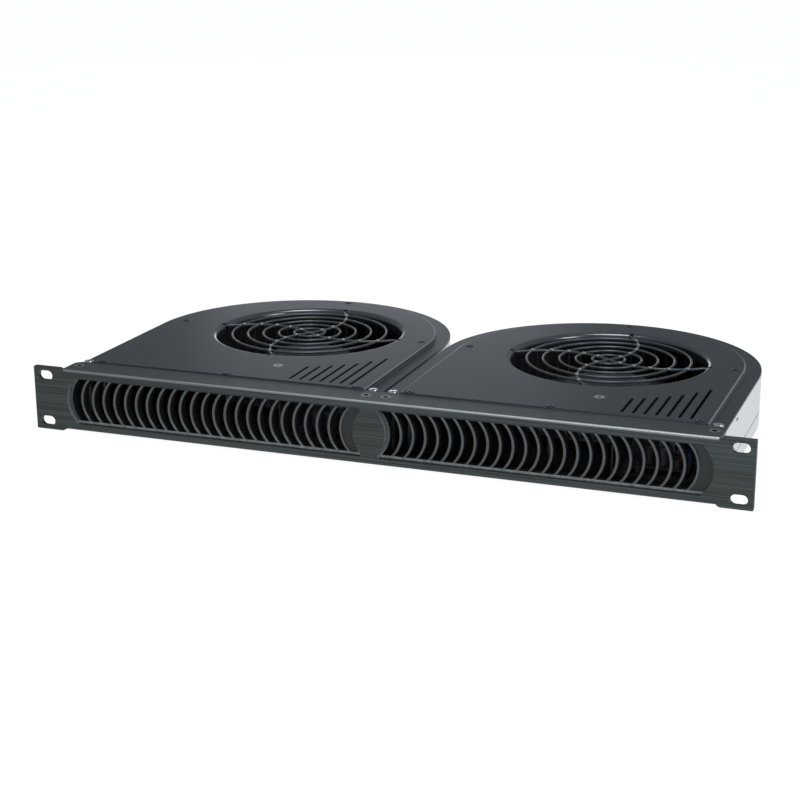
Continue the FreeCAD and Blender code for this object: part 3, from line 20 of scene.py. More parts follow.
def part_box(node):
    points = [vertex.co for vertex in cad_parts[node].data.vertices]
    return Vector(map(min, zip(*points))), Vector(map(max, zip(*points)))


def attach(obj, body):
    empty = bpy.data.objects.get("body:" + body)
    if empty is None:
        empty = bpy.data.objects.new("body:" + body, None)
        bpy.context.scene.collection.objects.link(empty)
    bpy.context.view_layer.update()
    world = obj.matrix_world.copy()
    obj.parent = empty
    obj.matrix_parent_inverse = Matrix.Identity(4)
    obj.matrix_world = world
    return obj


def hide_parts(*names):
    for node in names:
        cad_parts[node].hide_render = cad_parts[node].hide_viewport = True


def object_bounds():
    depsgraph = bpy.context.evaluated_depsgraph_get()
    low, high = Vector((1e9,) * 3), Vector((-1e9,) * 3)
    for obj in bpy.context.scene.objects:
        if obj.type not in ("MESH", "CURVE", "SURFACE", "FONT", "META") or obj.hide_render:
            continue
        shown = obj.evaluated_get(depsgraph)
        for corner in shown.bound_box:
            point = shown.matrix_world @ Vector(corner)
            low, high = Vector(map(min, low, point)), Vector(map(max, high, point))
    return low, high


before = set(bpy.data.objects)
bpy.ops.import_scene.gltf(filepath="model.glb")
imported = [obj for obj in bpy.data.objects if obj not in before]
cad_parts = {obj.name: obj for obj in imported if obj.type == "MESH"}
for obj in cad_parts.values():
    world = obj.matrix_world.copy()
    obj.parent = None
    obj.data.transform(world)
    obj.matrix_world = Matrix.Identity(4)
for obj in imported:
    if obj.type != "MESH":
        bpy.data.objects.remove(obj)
CAD_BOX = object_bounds()
NODES: dict[str, Object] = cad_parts
LOG = logging.getLogger("fan_tray")
SIDES = ("left", "right")
Point = tuple[float, ...]
SQUARE = 0.9  # a surface looks straight along an axis where its normal reaches this far along it


# ---- shader nodes ----
def add_node(tree: NodeTree, kind: str, values: dict[str | int, float] | None = None,
             operation: str = "") -> Node:
    """Add a shader node to a tree.

    Args:
        tree: the tree that gets the node.
        kind: type of the node, without the prefix that all shader nodes share.
        values: values of its inputs, by name or number.
        operation: what the node works out, where it has a choice.

    Returns:
        The new node.
    """
    node = tree.nodes.new("ShaderNode" + kind)
    if operation:
        node.operation = operation
    for label, value in (values or {}).items():
        node.inputs[label].default_value = value
    return node


def met_by(tree: NodeTree, first_ray: str, second_ray: str) -> NodeSocket:
    """Tell two kinds of ray from all others.

    Args:
        tree: node tree of a material or world.
        first_ray: one kind of ray, as Light Path names it.
        second_ray: the other kind.

    Returns:
        A value that is 1 for rays of both kinds and 0 for the rest.
    """
    path = add_node(tree, "LightPath")
    either = add_node(tree, "Math", operation="MAXIMUM")
    tree.links.new(path.outputs[first_ray], either.inputs[0])
    tree.links.new(path.outputs[second_ray], either.inputs[1])
    return either.outputs["Value"]


class NodeGroups:
    """The shader groups that the finishes share, each built when it is first asked for."""

    def start(self, name: str, inputs: dict[str, float], outputs: tuple[str, ...]) -> NodeTree:
        """Make a group that reads a vector and numbers, and puts out numbers.

        Args:
            name: name of the group.
            inputs: names of its number inputs, with their defaults.
            outputs: names of its outputs.

        Returns:
            The new group, with its input and output nodes.
        """
        tree = bpy.data.node_groups.new(name, "ShaderNodeTree")
        tree.interface.new_socket("Vector", in_out="INPUT", socket_type="NodeSocketVector")
        for label, value in inputs.items():
            socket = tree.interface.new_socket(label, in_out="INPUT", socket_type="NodeSocketFloat")
            socket.default_value = value
        for label in outputs:
            tree.interface.new_socket(label, in_out="OUTPUT", socket_type="NodeSocketFloat")
        tree.nodes.new("NodeGroupInput").name = "in"
        tree.nodes.new("NodeGroupOutput").name = "out"
        return tree

    @cached_property
    def brushing(self) -> NodeTree:
        """Draw brushing: fine streaks, drawn out along one axis.

        Returns:
            The group, which puts the streaks out.
        """
        inputs = {"Scale X": 9.0, "Scale Y": 1500.0, "Scale Z": 1500.0}
        tree = self.start("brushed_grain", inputs, ("Streaks",))
        scale = add_node(tree, "CombineXYZ")
        stretch = add_node(tree, "VectorMath", operation="MULTIPLY")
        noise = add_node(tree, "TexNoise", {"Scale": 1.0, "Detail": 3.0, "Roughness": 0.6})
        sharpen = add_node(tree, "MapRange", {"From Min": 0.32, "From Max": 0.68})
        source = tree.nodes["in"]
        for axis in "XYZ":
            tree.links.new(source.outputs["Scale " + axis], scale.inputs[axis])
        tree.links.new(source.outputs["Vector"], stretch.inputs[0])
        tree.links.new(scale.outputs["Vector"], stretch.inputs[1])
        tree.links.new(stretch.outputs["Vector"], noise.inputs["Vector"])
        tree.links.new(noise.outputs["Fac"], sharpen.inputs["Value"])
        tree.links.new(sharpen.outputs["Result"], tree.nodes["out"].inputs["Streaks"])
        return tree

    @cached_property
    def skin(self) -> NodeTree:
        """Draw a sprayed or moulded skin.

        Returns:
            The group, which puts out fine pimples and a slow drift of tone.
        """
        tree = self.start("sprayed_skin", {"Grain": 2600.0, "Drift": 9.0}, ("Pimples", "Drift"))
        source = tree.nodes["in"]
        for output, scale, detail in (("Pimples", "Grain", 2.0), ("Drift", "Drift", 4.0)):
            noise = add_node(tree, "TexNoise", {"Detail": detail})
            tree.links.new(source.outputs["Vector"], noise.inputs["Vector"])
            tree.links.new(source.outputs[scale], noise.inputs["Scale"])
            tree.links.new(noise.outputs["Fac"], tree.nodes["out"].inputs[output])
        return tree


GROUPS = NodeGroups()


# ---- finishes ----
@dataclass(frozen=True)
class Pattern:
    """A shared group as one finish uses it, with the outputs that spread the tones and raise the skin."""

    group: NodeTree
    values: dict[str, float]
    tone: str
    height: str


@dataclass(frozen=True)
class Finish:
    """A finish: it runs between two tones and from smooth to rough, and a fine relief raises its skin."""

    name: str
    dark: tuple[float, float, float]
    light: tuple[float, float, float]
    metallic: float
    smooth: float
    rough: float
    bump: float
    bump_distance: float = 0.0001
    specular: float = 0.5

    def pattern(self) -> Pattern:
        """Return the pattern of the finish, which each kind of finish has of its own."""
        raise NotImplementedError

    def place(self, tree: NodeTree, pattern: Pattern) -> Node:
        """Place a pattern in the material, on the coordinates of the object.

        Args:
            tree: node tree of the material.
            pattern: the pattern.

        Returns:
            The node of its group.
        """
        coordinates = add_node(tree, "TexCoord")
        placed = add_node(tree, "Group")
        placed.node_tree = pattern.group
        for label, value in pattern.values.items():
            placed.inputs[label].default_value = value
        tree.links.new(coordinates.outputs["Object"], placed.inputs["Vector"])
        return placed

    def spread_tones(self, tree: NodeTree, shader: Node, value: NodeSocket) -> None:
        """Spread the colour between the two tones, and the roughness between its two ends.

        Args:
            tree: node tree of the material.
            shader: its shader.
            value: from 0 for dark and smooth to 1 for light and rough.
        """
        mix = tree.nodes.new("ShaderNodeMix")
        mix.data_type = "RGBA"
        mix.inputs["A"].default_value = (*self.dark, 1.0)
        mix.inputs["B"].default_value = (*self.light, 1.0)
        roughness = add_node(tree, "MapRange", {"To Min": self.smooth, "To Max": self.rough})
        tree.links.new(value, mix.inputs["Factor"])
        tree.links.new(value, roughness.inputs["Value"])
        tree.links.new(mix.outputs["Result"], shader.inputs["Base Color"])
        tree.links.new(roughness.outputs["Result"], shader.inputs["Roughness"])

    def raise_skin(self, tree: NodeTree, shader: Node, height: NodeSocket) -> None:
        """Raise the skin.

        Args:
            tree: node tree of the material.
            shader: its shader.
            height: height of the skin, from 0 to 1.
        """
        bump = add_node(tree, "Bump", {"Strength": self.bump, "Distance": self.bump_distance})
        tree.links.new(height, bump.inputs["Height"])
        tree.links.new(bump.outputs["Normal"], shader.inputs["Normal"])

    def make(self) -> Material:
        """Make the finish.

        Returns:
            A new material.
        """
        material = bpy.data.materials.new(self.name)
        material.use_nodes = True
        tree = material.node_tree
        shader = tree.nodes["Principled BSDF"]
        shader.inputs["Metallic"].default_value = self.metallic
        shader.inputs["Specular IOR Level"].default_value = self.specular
        pattern = self.pattern()
        placed = self.place(tree, pattern)
        self.spread_tones(tree, shader, placed.outputs[pattern.tone])
        self.raise_skin(tree, shader, placed.outputs[pattern.height])
        return material


class Grain(Enum):
    """The way that the brushing of a metal runs: how fine it is along each axis."""

    ALONG_X = (9.0, 1500.0, 1500.0)
    ALONG_Y = (1500.0, 9.0, 1500.0)
    NONE = (400.0, 400.0, 400.0)


@dataclass(frozen=True)
class BrushedMetal(Finish):
    """Metal with a directional brushing."""

    grain: Grain = Grain.ALONG_X

    def pattern(self) -> Pattern:
        """Return the brushing, whose streaks spread the tones and raise the skin alike."""
        scales = {"Scale " + axis: scale for axis, scale in zip("XYZ", self.grain.value)}
        return Pattern(GROUPS.brushing, scales, "Streaks", "Streaks")


@dataclass(frozen=True)
class SprayedSkin(Finish):
    """Powder coat, moulded plastic, rubber or cast metal: fine pimples with a slow drift of tone."""

    pimple_scale: float = 2600.0
    drift_scale: float = 9.0

    def pattern(self) -> Pattern:
        """Return the skin, whose drift spreads the tones and whose pimples stand out."""
        scales = {"Grain": self.pimple_scale, "Drift": self.drift_scale}
        return Pattern(GROUPS.skin, scales, "Drift", "Pimples")


# Each finish gives its name, its dark and light tones, then metallic, smoothest, roughest and bump.

# coats, bare metal, painted highlights and painted shade of the panel and the housings
ANODISED = BrushedMetal("black_anodised", (0.017, 0.021, 0.022), (0.061, 0.072, 0.073), 0.35, 0.34, 0.44, 0.3,
                        specular=0.35)
# painted highlight: a lighter metal on the rounded upper front edge of the panel, on the faces that look
# forwards and up to the lamps
PAINTED_EDGE_HIGHLIGHT = BrushedMetal("painted_edge_highlight", (0.28, 0.29, 0.30), (0.40, 0.41, 0.42), 1.0, 0.44, 0.54, 0.03)
CUT_EDGE = BrushedMetal("cut_edge", (0.15, 0.165, 0.175), (0.24, 0.26, 0.27), 0.2, 0.34, 0.44, 0.10)
LID_COAT = SprayedSkin("lid_powder_coat", (0.016, 0.021, 0.025), (0.022, 0.027, 0.032), 0.0, 0.28, 0.34, 0.10,
                       specular=0.25)
# painted highlight: a lighter coat on the bent edges of the plateau, where they catch the lamps
PLATEAU_HIGHLIGHT_COAT = SprayedSkin("painted_highlight_coat", (0.130, 0.140, 0.148), (0.170, 0.180, 0.188), 0.0, 0.26, 0.34, 0.08)
BENT_COAT = SprayedSkin("bent_coat", (0.018, 0.023, 0.027), (0.024, 0.029, 0.034), 0.0, 0.45, 0.55, 0.08,
                        specular=0.2)
# partly gloss and partly painted highlight: the inlet lips are lighter than the lid coat as well as glossier
LIP_GLOSS_AND_HIGHLIGHT = SprayedSkin("rolled_lip_gloss_and_highlight", (0.060, 0.067, 0.073), (0.080, 0.088, 0.094), 0.5, 0.16, 0.22, 0.05,
                         specular=1.0)
# painted shade: black on the insides of the housings, under the lids, on the cut-off plates and on the cutout
# sills, where the inside lies in shadow
INNER_SHADE_BLACK = SprayedSkin("inner_painted_shade", (0.022, 0.025, 0.027), (0.032, 0.036, 0.038), 0.0, 0.55, 0.70, 0.1,
                          specular=0.2)
ZINC_SHEET = BrushedMetal("zinc_sheet", (0.57, 0.59, 0.61), (0.69, 0.71, 0.73), 0.85, 0.30, 0.42, 0.05,
                          grain=Grain.ALONG_Y)

# grilles and guards
GRILLE_PLASTIC = SprayedSkin("grille_plastic", (0.014, 0.017, 0.019), (0.020, 0.024, 0.026), 0.0, 0.32, 0.42,
                             0.1, specular=0.3)
# painted highlight: a lighter tone on the rounded fronts of the vanes
VANE_HIGHLIGHT = SprayedSkin("vane_front", (0.046, 0.052, 0.056), (0.062, 0.069, 0.074), 0.0, 0.22, 0.30, 0.08,
                         specular=0.6)
# painted highlight: light patches on the front of the lower ledge
LEDGE_HIGHLIGHT = SprayedSkin("ledge_painted_highlight", (0.02, 0.024, 0.026), (0.44, 0.46, 0.47), 0.0, 0.22, 0.30, 0.08,
                          drift_scale=200.0)
GUARD_WIRE = SprayedSkin("guard_wire", (0.048, 0.054, 0.058), (0.068, 0.076, 0.081), 0.2, 0.22, 0.30, 0.05)
WELD_METAL = SprayedSkin("weld_metal", (0.13, 0.14, 0.145), (0.34, 0.35, 0.36), 0.3, 0.22, 0.34, 0.2,
                         pimple_scale=3000.0, drift_scale=900.0)

# screws, nuts and posts
BRIGHT_ZINC = BrushedMetal("bright_zinc", (0.62, 0.63, 0.64), (0.80, 0.80, 0.80), 1.0, 0.16, 0.28, 0.04,
                           grain=Grain.NONE)
DULL_ZINC = BrushedMetal("dull_zinc", (0.24, 0.25, 0.26), (0.34, 0.35, 0.36), 0.9, 0.26, 0.38, 0.04,
                         grain=Grain.NONE)
BLACK_OXIDE = SprayedSkin("black_oxide", (0.020, 0.021, 0.023), (0.035, 0.036, 0.039), 0.5, 0.30, 0.42, 0.1)
# painted shade: black inside the drives of the screws, where the recess lies in shadow
RECESS_SHADE = SprayedSkin("painted_recess_shade", (0.008, 0.008, 0.009), (0.014, 0.014, 0.015), 0.0, 0.55, 0.70, 0.1,
                           specular=0.2)

# wheels and motors
WHEEL_PLASTIC = SprayedSkin("wheel_plastic", (0.024, 0.027, 0.029), (0.036, 0.040, 0.043), 0.0, 0.42, 0.55,
                            0.2, specular=0.3)
ROTOR_STEEL = BrushedMetal("rotor_steel", (0.40, 0.41, 0.42), (0.60, 0.60, 0.61), 1.0, 0.25, 0.40, 0.05,
                           grain=Grain.NONE)
FERRITE = SprayedSkin("ferrite", (0.06, 0.06, 0.06), (0.11, 0.11, 0.11), 0.0, 0.6, 0.8, 0.3)
COPPER = BrushedMetal("enamelled_copper", (0.42, 0.14, 0.05), (0.75, 0.33, 0.14), 0.9, 0.25, 0.40, 0.2)
CAST_METAL = SprayedSkin("die_cast_metal", (0.46, 0.47, 0.48), (0.62, 0.63, 0.64), 1.0, 0.40, 0.55, 0.3,
                         pimple_scale=1400.0, drift_scale=40.0)
RUBBER = SprayedSkin("grommet_rubber", (0.018, 0.018, 0.018), (0.030, 0.030, 0.030), 0.0, 0.7, 0.85, 0.2)

# boards, jacks and leads
BOARD_MASK = SprayedSkin("solder_mask", (0.006, 0.008, 0.008), (0.010, 0.013, 0.012), 0.0, 0.30, 0.45, 0.2,
                         pimple_scale=500.0, drift_scale=60.0)
NYLON = SprayedSkin("black_nylon", (0.018, 0.018, 0.018), (0.030, 0.030, 0.030), 0.0, 0.45, 0.55, 0.1)
HEADER_NYLON = SprayedSkin("header_nylon", (0.05, 0.05, 0.045), (0.08, 0.08, 0.07), 0.0, 0.35, 0.45, 0.1)
TRIMMER_BLUE = SprayedSkin("trimmer_blue", (0.008, 0.015, 0.040), (0.012, 0.022, 0.060), 0.0, 0.25, 0.35, 0.1)
COIL_VARNISH = SprayedSkin("coil_varnish", (0.014, 0.011, 0.010), (0.022, 0.018, 0.016), 0.0, 0.3, 0.4, 0.2)
HEAT_SINK = BrushedMetal("heat_sink", (0.03, 0.03, 0.032), (0.06, 0.06, 0.062), 0.6, 0.35, 0.45, 0.1)
JACK_PLASTIC = SprayedSkin("jack_plastic", (0.015, 0.015, 0.016), (0.028, 0.028, 0.030), 0.0, 0.22, 0.35, 0.1)
SLEEVE = SprayedSkin("lead_sleeve", (0.020, 0.020, 0.021), (0.035, 0.035, 0.036), 0.0, 0.5, 0.65, 0.1)

# CAD nodes that wear one finish all over
PAIRED_FINISHES: dict[str, Finish] = {
    "cutoff_plate": INNER_SHADE_BLACK, "lid_posts": BLACK_OXIDE, "corner_posts": BLACK_OXIDE,
    "fan_guard": GUARD_WIRE, "impeller": WHEEL_PLASTIC, "rotor_cup": ROTOR_STEEL, "shaft": ROTOR_STEEL,
    "shaft_clip": BRIGHT_ZINC, "bearings": ROTOR_STEEL, "magnet_ring": FERRITE, "stator_core": ROTOR_STEEL,
    "stator_windings": COPPER, "motor_driver": BOARD_MASK, "motor_base": CAST_METAL, "motor_grommets": RUBBER,
    "motor_lead": SLEEVE, "jack_lead": SLEEVE, "board_standoffs": NYLON,
}
SHARED_FINISHES: dict[str, Finish] = {
    "grille_pins": BLACK_OXIDE, "clinch_nuts": BRIGHT_ZINC, "guard_nuts": BRIGHT_ZINC,
    "jack_nuts": JACK_PLASTIC,
}


@dataclass
class Wardrobe:
    """Makes each finish once and puts it on pieces."""

    made: dict[str, Material] = field(default_factory=dict)

    def material(self, finish: Finish) -> Material:
        """Return the material of a finish, making it on first use."""
        if finish.name not in self.made:
            self.made[finish.name] = finish.make()
        return self.made[finish.name]

    def dress(self, piece: Object, *finishes: Finish) -> None:
        """Hand a piece its finishes.

        Args:
            piece: the piece.
            finishes: its finishes, of which it wears the first all over until it is painted.
        """
        piece.data.materials.clear()
        for finish in finishes:
            piece.data.materials.append(self.material(finish))

    def paint(self, piece: Object, finishes: tuple[Finish, ...],
              choose: Callable[[MeshPolygon], Finish]) -> None:
        """Dress a piece face by face.

        Args:
            piece: the piece.
            finishes: all the finishes that it wears.
            choose: returns the finish of a face.
        """
        self.dress(piece, *finishes)
        for face in piece.data.polygons:
            face.material_index = finishes.index(choose(face))
        LOG.info("%s painted with %d finishes", piece.name, len(finishes))

    def dress_frame(self) -> None:
        """Dress every CAD node that wears one finish all over."""
        finishes = dict(SHARED_FINISHES)
        for stem, finish in PAIRED_FINISHES.items():
            finishes.update({f"{stem}_{side}": finish for side in SIDES})
        for node, finish in finishes.items():
            self.dress(NODES[node], finish)
            LOG.info("%s finished in %s", node, finish.name)


# ---- panel, grilles and housings ----
@dataclass
class FrontPanel:
    """The front panel: a painted highlight along its upper front edge, cut bare round its two cutouts, with
    painted shade on their sills.
    """

    wardrobe: Wardrobe
    cutout_h: float = 0.032
    cutouts_reach: float = 0.22  # from the middle of the panel
    margin: float = 0.0005
    lean: float = 0.1  # the wall of a cutout looks forwards by less than this
    highlight_forward: float = 0.15  # a face with the painted highlight looks forwards by more than this
    highlight_up: tuple[float, float] = (0.42, 0.99)  # and up by between these

    @cached_property
    def face_y(self) -> float:
        """Return how far forwards the panel reaches."""
        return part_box("front_panel")[0].y

    def dress(self) -> None:
        """Paint the panel."""
        finishes = (ANODISED, PAINTED_EDGE_HIGHLIGHT, CUT_EDGE, INNER_SHADE_BLACK)
        self.wardrobe.paint(NODES["front_panel"], finishes, self.finish_of)

    def finish_of(self, face: MeshPolygon) -> Finish:
        """Return the finish of a face of the panel.

        Args:
            face: the face.

        Returns:
            The finish of the round, edge or sheet that it is part of.
        """
        place, normal = face.center, face.normal
        least_up, most_up = self.highlight_up
        # faces that look forwards and up get the painted highlight
        if normal.y < -self.highlight_forward and least_up < normal.z < most_up:
            return PAINTED_EDGE_HIGHLIGHT
        in_thickness = self.face_y < place.y < 0.0 and abs(normal.y) < self.lean
        in_cutout = abs(place.x) < self.cutouts_reach and abs(place.z) < self.cutout_h / 2 + self.margin
        if not (in_thickness and in_cutout):
            return ANODISED
        # the sill of each cutout lies in shadow and gets the black painted shade, darker than the bare cut
        # walls
        on_shaded_sill = normal.z > SQUARE and place.z < self.margin - self.cutout_h / 2
        return INNER_SHADE_BLACK if on_shaded_sill else CUT_EDGE


@dataclass
class Grille:
    """The grille of one side, with painted highlights on the fronts of its vanes and on its lower ledge.

    A web closes the right-hand end of each window and keeps the plain finish.
    """

    wardrobe: Wardrobe
    side: str
    cutout_h: float = 0.032
    aperture_h: float = 0.0288
    vane_arc_r: float = 0.021
    vane_front: float = 0.0009  # depth of the round front of a vane
    plate_front: float = 0.00002
    margin: float = 0.0002
    left_web_end: float = 0.0132  # from the middle of the panel, as the next
    right_web_start: float = 0.2146

    def dress(self) -> None:
        """Paint the grille."""
        finishes = (GRILLE_PLASTIC, VANE_HIGHLIGHT, LEDGE_HIGHLIGHT)
        self.wardrobe.paint(NODES["grille_" + self.side], finishes, self.finish_of)

    def on_web(self, place: Vector) -> bool:
        """Tell whether a place is on the web, by where the bent vane through it starts.

        Args:
            place: the place.

        Returns:
            Whether the web is there.
        """
        sag = self.vane_arc_r - math.sqrt(self.vane_arc_r ** 2 - place.z ** 2)
        reach = abs(place.x) + sag
        return reach <= self.left_web_end if self.side == "left" else reach >= self.right_web_start

    def finish_of(self, face: MeshPolygon) -> Finish:
        """Return the finish of a face of the grille.

        Args:
            face: the face.

        Returns:
            The finish of the ledge, vane or plate that it is part of.
        """
        place = face.center
        ledge_low = -self.cutout_h / 2 - self.margin
        ledge_high = -self.aperture_h / 2 + self.margin / 2
        # the front of the lower ledge gets the patchy painted highlight
        if place.y < self.plate_front and ledge_low < place.z < ledge_high:
            return LEDGE_HIGHLIGHT
        # the fronts of the vanes, off the webs, get the painted highlight
        on_vane = place.y < self.vane_front and abs(place.z) < self.aperture_h / 2 + self.margin
        return VANE_HIGHLIGHT if on_vane and not self.on_web(place) else GRILLE_PLASTIC


@dataclass
class Lid:
    """The lid of one module: coated outside, black painted shade inside, and a painted highlight or more
    gloss where the sheet is bent.
    """

    wardrobe: Wardrobe
    side: str
    step_h: float = 0.0026
    bend_up: tuple[float, float] = (0.2, 0.96)  # a bent face looks up by between these
    inside_up: float = -0.5  # a face of the inside looks up by less than this
    lip_reach: float = 0.075  # from the middle of the inlet
    plateau_front: float = 0.024  # from the front edge of the lid

    @cached_property
    def box(self) -> tuple[Vector, Vector]:
        """Return the box of the lid."""
        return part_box("lid_" + self.side)

    @cached_property
    def inlet(self) -> Vector:
        """Return the middle of the guard, which lies in the inlet."""
        low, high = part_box("fan_guard_" + self.side)
        return (low + high) / 2

    def dress(self) -> None:
        """Paint the lid."""
        finishes = (LID_COAT, INNER_SHADE_BLACK, PLATEAU_HIGHLIGHT_COAT, BENT_COAT, LIP_GLOSS_AND_HIGHLIGHT)
        self.wardrobe.paint(NODES["lid_" + self.side], finishes, self.finish_of)

    def finish_of(self, face: MeshPolygon) -> Finish:
        """Return the finish of a face of the lid.

        Args:
            face: the face.

        Returns:
            The finish of the lip, bend or flat that it is part of.
        """
        place, normal = face.center, face.normal
        low, high = self.box
        least_up, most_up = self.bend_up
        if least_up < normal.z < most_up and place.z > high.z - self.step_h:
            # the bent lip of an inlet gets the glossier coat with its painted highlight
            if (place - self.inlet).xy.length < self.lip_reach:
                return LIP_GLOSS_AND_HIGHLIGHT
            # bent faces near the front keep a dark coat; the others get the painted highlight
            return BENT_COAT if place.y < low.y + self.plateau_front else PLATEAU_HIGHLIGHT_COAT
        # faces that look down get the black painted shade
        return LID_COAT if normal.z > self.inside_up else INNER_SHADE_BLACK


@dataclass
class Shell:
    """A wall band or a bottom tray, round at its back: plated outside and black painted shade inside."""

    wardrobe: Wardrobe
    node: str
    hemmed: bool
    hem_h: float = 0.0016
    hem_lean: float = 0.05  # a face of the hem looks down by more than this
    skin: float = 0.0004  # an outer face lies nearer than this to a side of the box

    @cached_property
    def box(self) -> tuple[Vector, Vector]:
        """Return the box of the sheet."""
        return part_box(self.node)

    def dress(self) -> None:
        """Paint the sheet."""
        self.wardrobe.paint(NODES[self.node], (ZINC_SHEET, INNER_SHADE_BLACK), self.finish_of)

    def finish_of(self, face: MeshPolygon) -> Finish:
        """Return the finish of a face of the sheet, whose outside is found from its box.

        Args:
            face: the face.

        Returns:
            The plating, also on the round hem along its bottom, or the black painted shade inside.
        """
        place, normal = face.center, face.normal
        low, high = self.box
        half_w = (high.x - low.x) / 2
        reach = math.hypot(place.x - low.x - half_w, max(place.y - high.y + half_w, 0.0))
        at_level_ends = not low.z + self.skin <= place.z <= high.z - self.skin
        on_hem = self.hemmed and place.z < low.z + self.hem_h and normal.z < -self.hem_lean
        outside = reach > half_w - self.skin or place.y < low.y + self.skin or at_level_ends or on_hem
        # the inside gets the black painted shade
        return ZINC_SHEET if outside else INNER_SHADE_BLACK


# ---- tools of the workshop ----
class Workshop:
    """The few moves that every new piece is made with."""

    @staticmethod
    def clear_hand() -> None:
        """Select nothing."""
        bpy.ops.object.select_all(action="DESELECT")

    @classmethod
    def pick(cls, piece: Object) -> None:
        """Select one piece alone and make it active.

        Args:
            piece: the piece.
        """
        cls.clear_hand()
        piece.select_set(True)
        bpy.context.view_layer.objects.active = piece

    @staticmethod
    def settle(name: str) -> Object:
        """Put the place, turn and scale of the piece just added into its mesh.

        Args:
            name: name for the piece.

        Returns:
            The piece.
        """
        piece = bpy.context.object
        piece.name = name
        bpy.ops.object.transform_apply(location=True, rotation=True, scale=True)
        return piece

    @classmethod
    def circle(cls, name: str, radius: float, z: float, sides: int) -> Object:
        """Add a filled circle, the start of a turned piece.

        Args:
            name: name of the piece.
            radius: its radius.
            z: its height.
            sides: how many corners it has.

        Returns:
            The circle.
        """
        cls.clear_hand()
        bpy.ops.mesh.primitive_circle_add(vertices=sides, radius=radius, fill_type="NGON",
                                          location=(0.0, 0.0, z))
        return cls.settle(name)

    @classmethod
    def prism(cls, name: str, radius: float, sides: int, depth: float) -> Object:
        """Add a prism, for a cut down from height zero.

        Args:
            name: name of the prism.
            radius: its radius over the corners.
            sides: how many sides it has.
            depth: how far it reaches below and above height zero.

        Returns:
            The prism.
        """
        cls.clear_hand()
        bpy.ops.mesh.primitive_cylinder_add(vertices=sides, radius=radius, depth=depth * 2)
        return cls.settle(name)

    @classmethod
    def bar(cls, name: str, size: tuple[float, float, float], turn: float, taper: float) -> Object:
        """Add a bar centred on the origin and draw its bottom in.

        Args:
            name: name of the bar.
            size: its length, width and height.
            turn: its turn about the z axis, in radians.
            taper: size of its bottom, as a share of its top.

        Returns:
            The bar.
        """
        cls.clear_hand()
        bpy.ops.mesh.primitive_cube_add(size=1.0, rotation=(0.0, 0.0, turn))
        bpy.context.object.scale = size
        piece = cls.settle(name)
        cls.grip(piece, lambda place: place.z < 0.0)
        bpy.ops.transform.resize(value=(taper, taper, 1.0))
        bpy.ops.object.mode_set(mode="OBJECT")
        return piece

    @staticmethod
    def grip(piece: Object, wanted: Callable[[Vector], bool]) -> None:
        """Go into edit mode with part of a mesh selected.

        Args:
            piece: the active piece.
            wanted: tells whether the vertex at a place is selected.
        """
        mesh = piece.data
        for vertex in mesh.vertices:
            vertex.select = wanted(vertex.co)
        for span in (*mesh.edges, *mesh.polygons):
            span.select = all(mesh.vertices[index].select for index in span.vertices)
        bpy.ops.object.mode_set(mode="EDIT")

    @classmethod
    def cut(cls, piece: Object, cutter: Object) -> None:
        """Cut a piece and drop the cutter.

        Args:
            piece: the piece.
            cutter: the block that is taken away from it.
        """
        cls.pick(piece)
        boolean = piece.modifiers.new("cut", "BOOLEAN")
        boolean.operation = "DIFFERENCE"
        boolean.solver = "EXACT"
        boolean.object = cutter
        bpy.ops.object.modifier_apply(modifier=boolean.name)
        bpy.data.objects.remove(cutter, do_unlink=True)

    @staticmethod
    def copy(pattern: Object, place: Matrix) -> Object:
        """Copy a piece, with a mesh of its own.

        Args:
            pattern: the piece, standing at the origin.
            place: where the copy goes.

        Returns:
            The copy.
        """
        twin = pattern.copy()
        twin.data = pattern.data.copy()
        twin.data.transform(place)
        bpy.context.scene.collection.objects.link(twin)
        return twin

    @classmethod
    def join(cls, name: str, pieces: list[Object], crease: float) -> Object:
        """Join pieces into one.

        Args:
            name: name of the joined piece.
            pieces: the pieces.
            crease: the angle in degrees from which an edge stays sharp.

        Returns:
            The joined piece.
        """
        cls.clear_hand()
        for piece in pieces:
            piece.select_set(True)
        bpy.context.view_layer.objects.active = pieces[0]
        bpy.ops.object.join()
        pieces[0].name = name
        bpy.ops.object.shade_smooth_by_angle(angle=math.radians(crease))
        return pieces[0]


# ---- screws ----
class Drive(Enum):
    """The recess in the head of a screw."""

    CROSS = "cross"
    HEX = "hexagon"


class Head(Enum):
    """The outline of a head from its shank up: its width and its depth, as shares of the head's own."""

    ROUND = ((0.97, 1.0), (1.0, 0.85), (1.0, 0.30), (0.98, 0.15), (0.93, 0.04), (0.86, 0.0))
    COUNTERSUNK = ((0.985, 0.08), (1.0, 0.0), (0.96, 0.0))


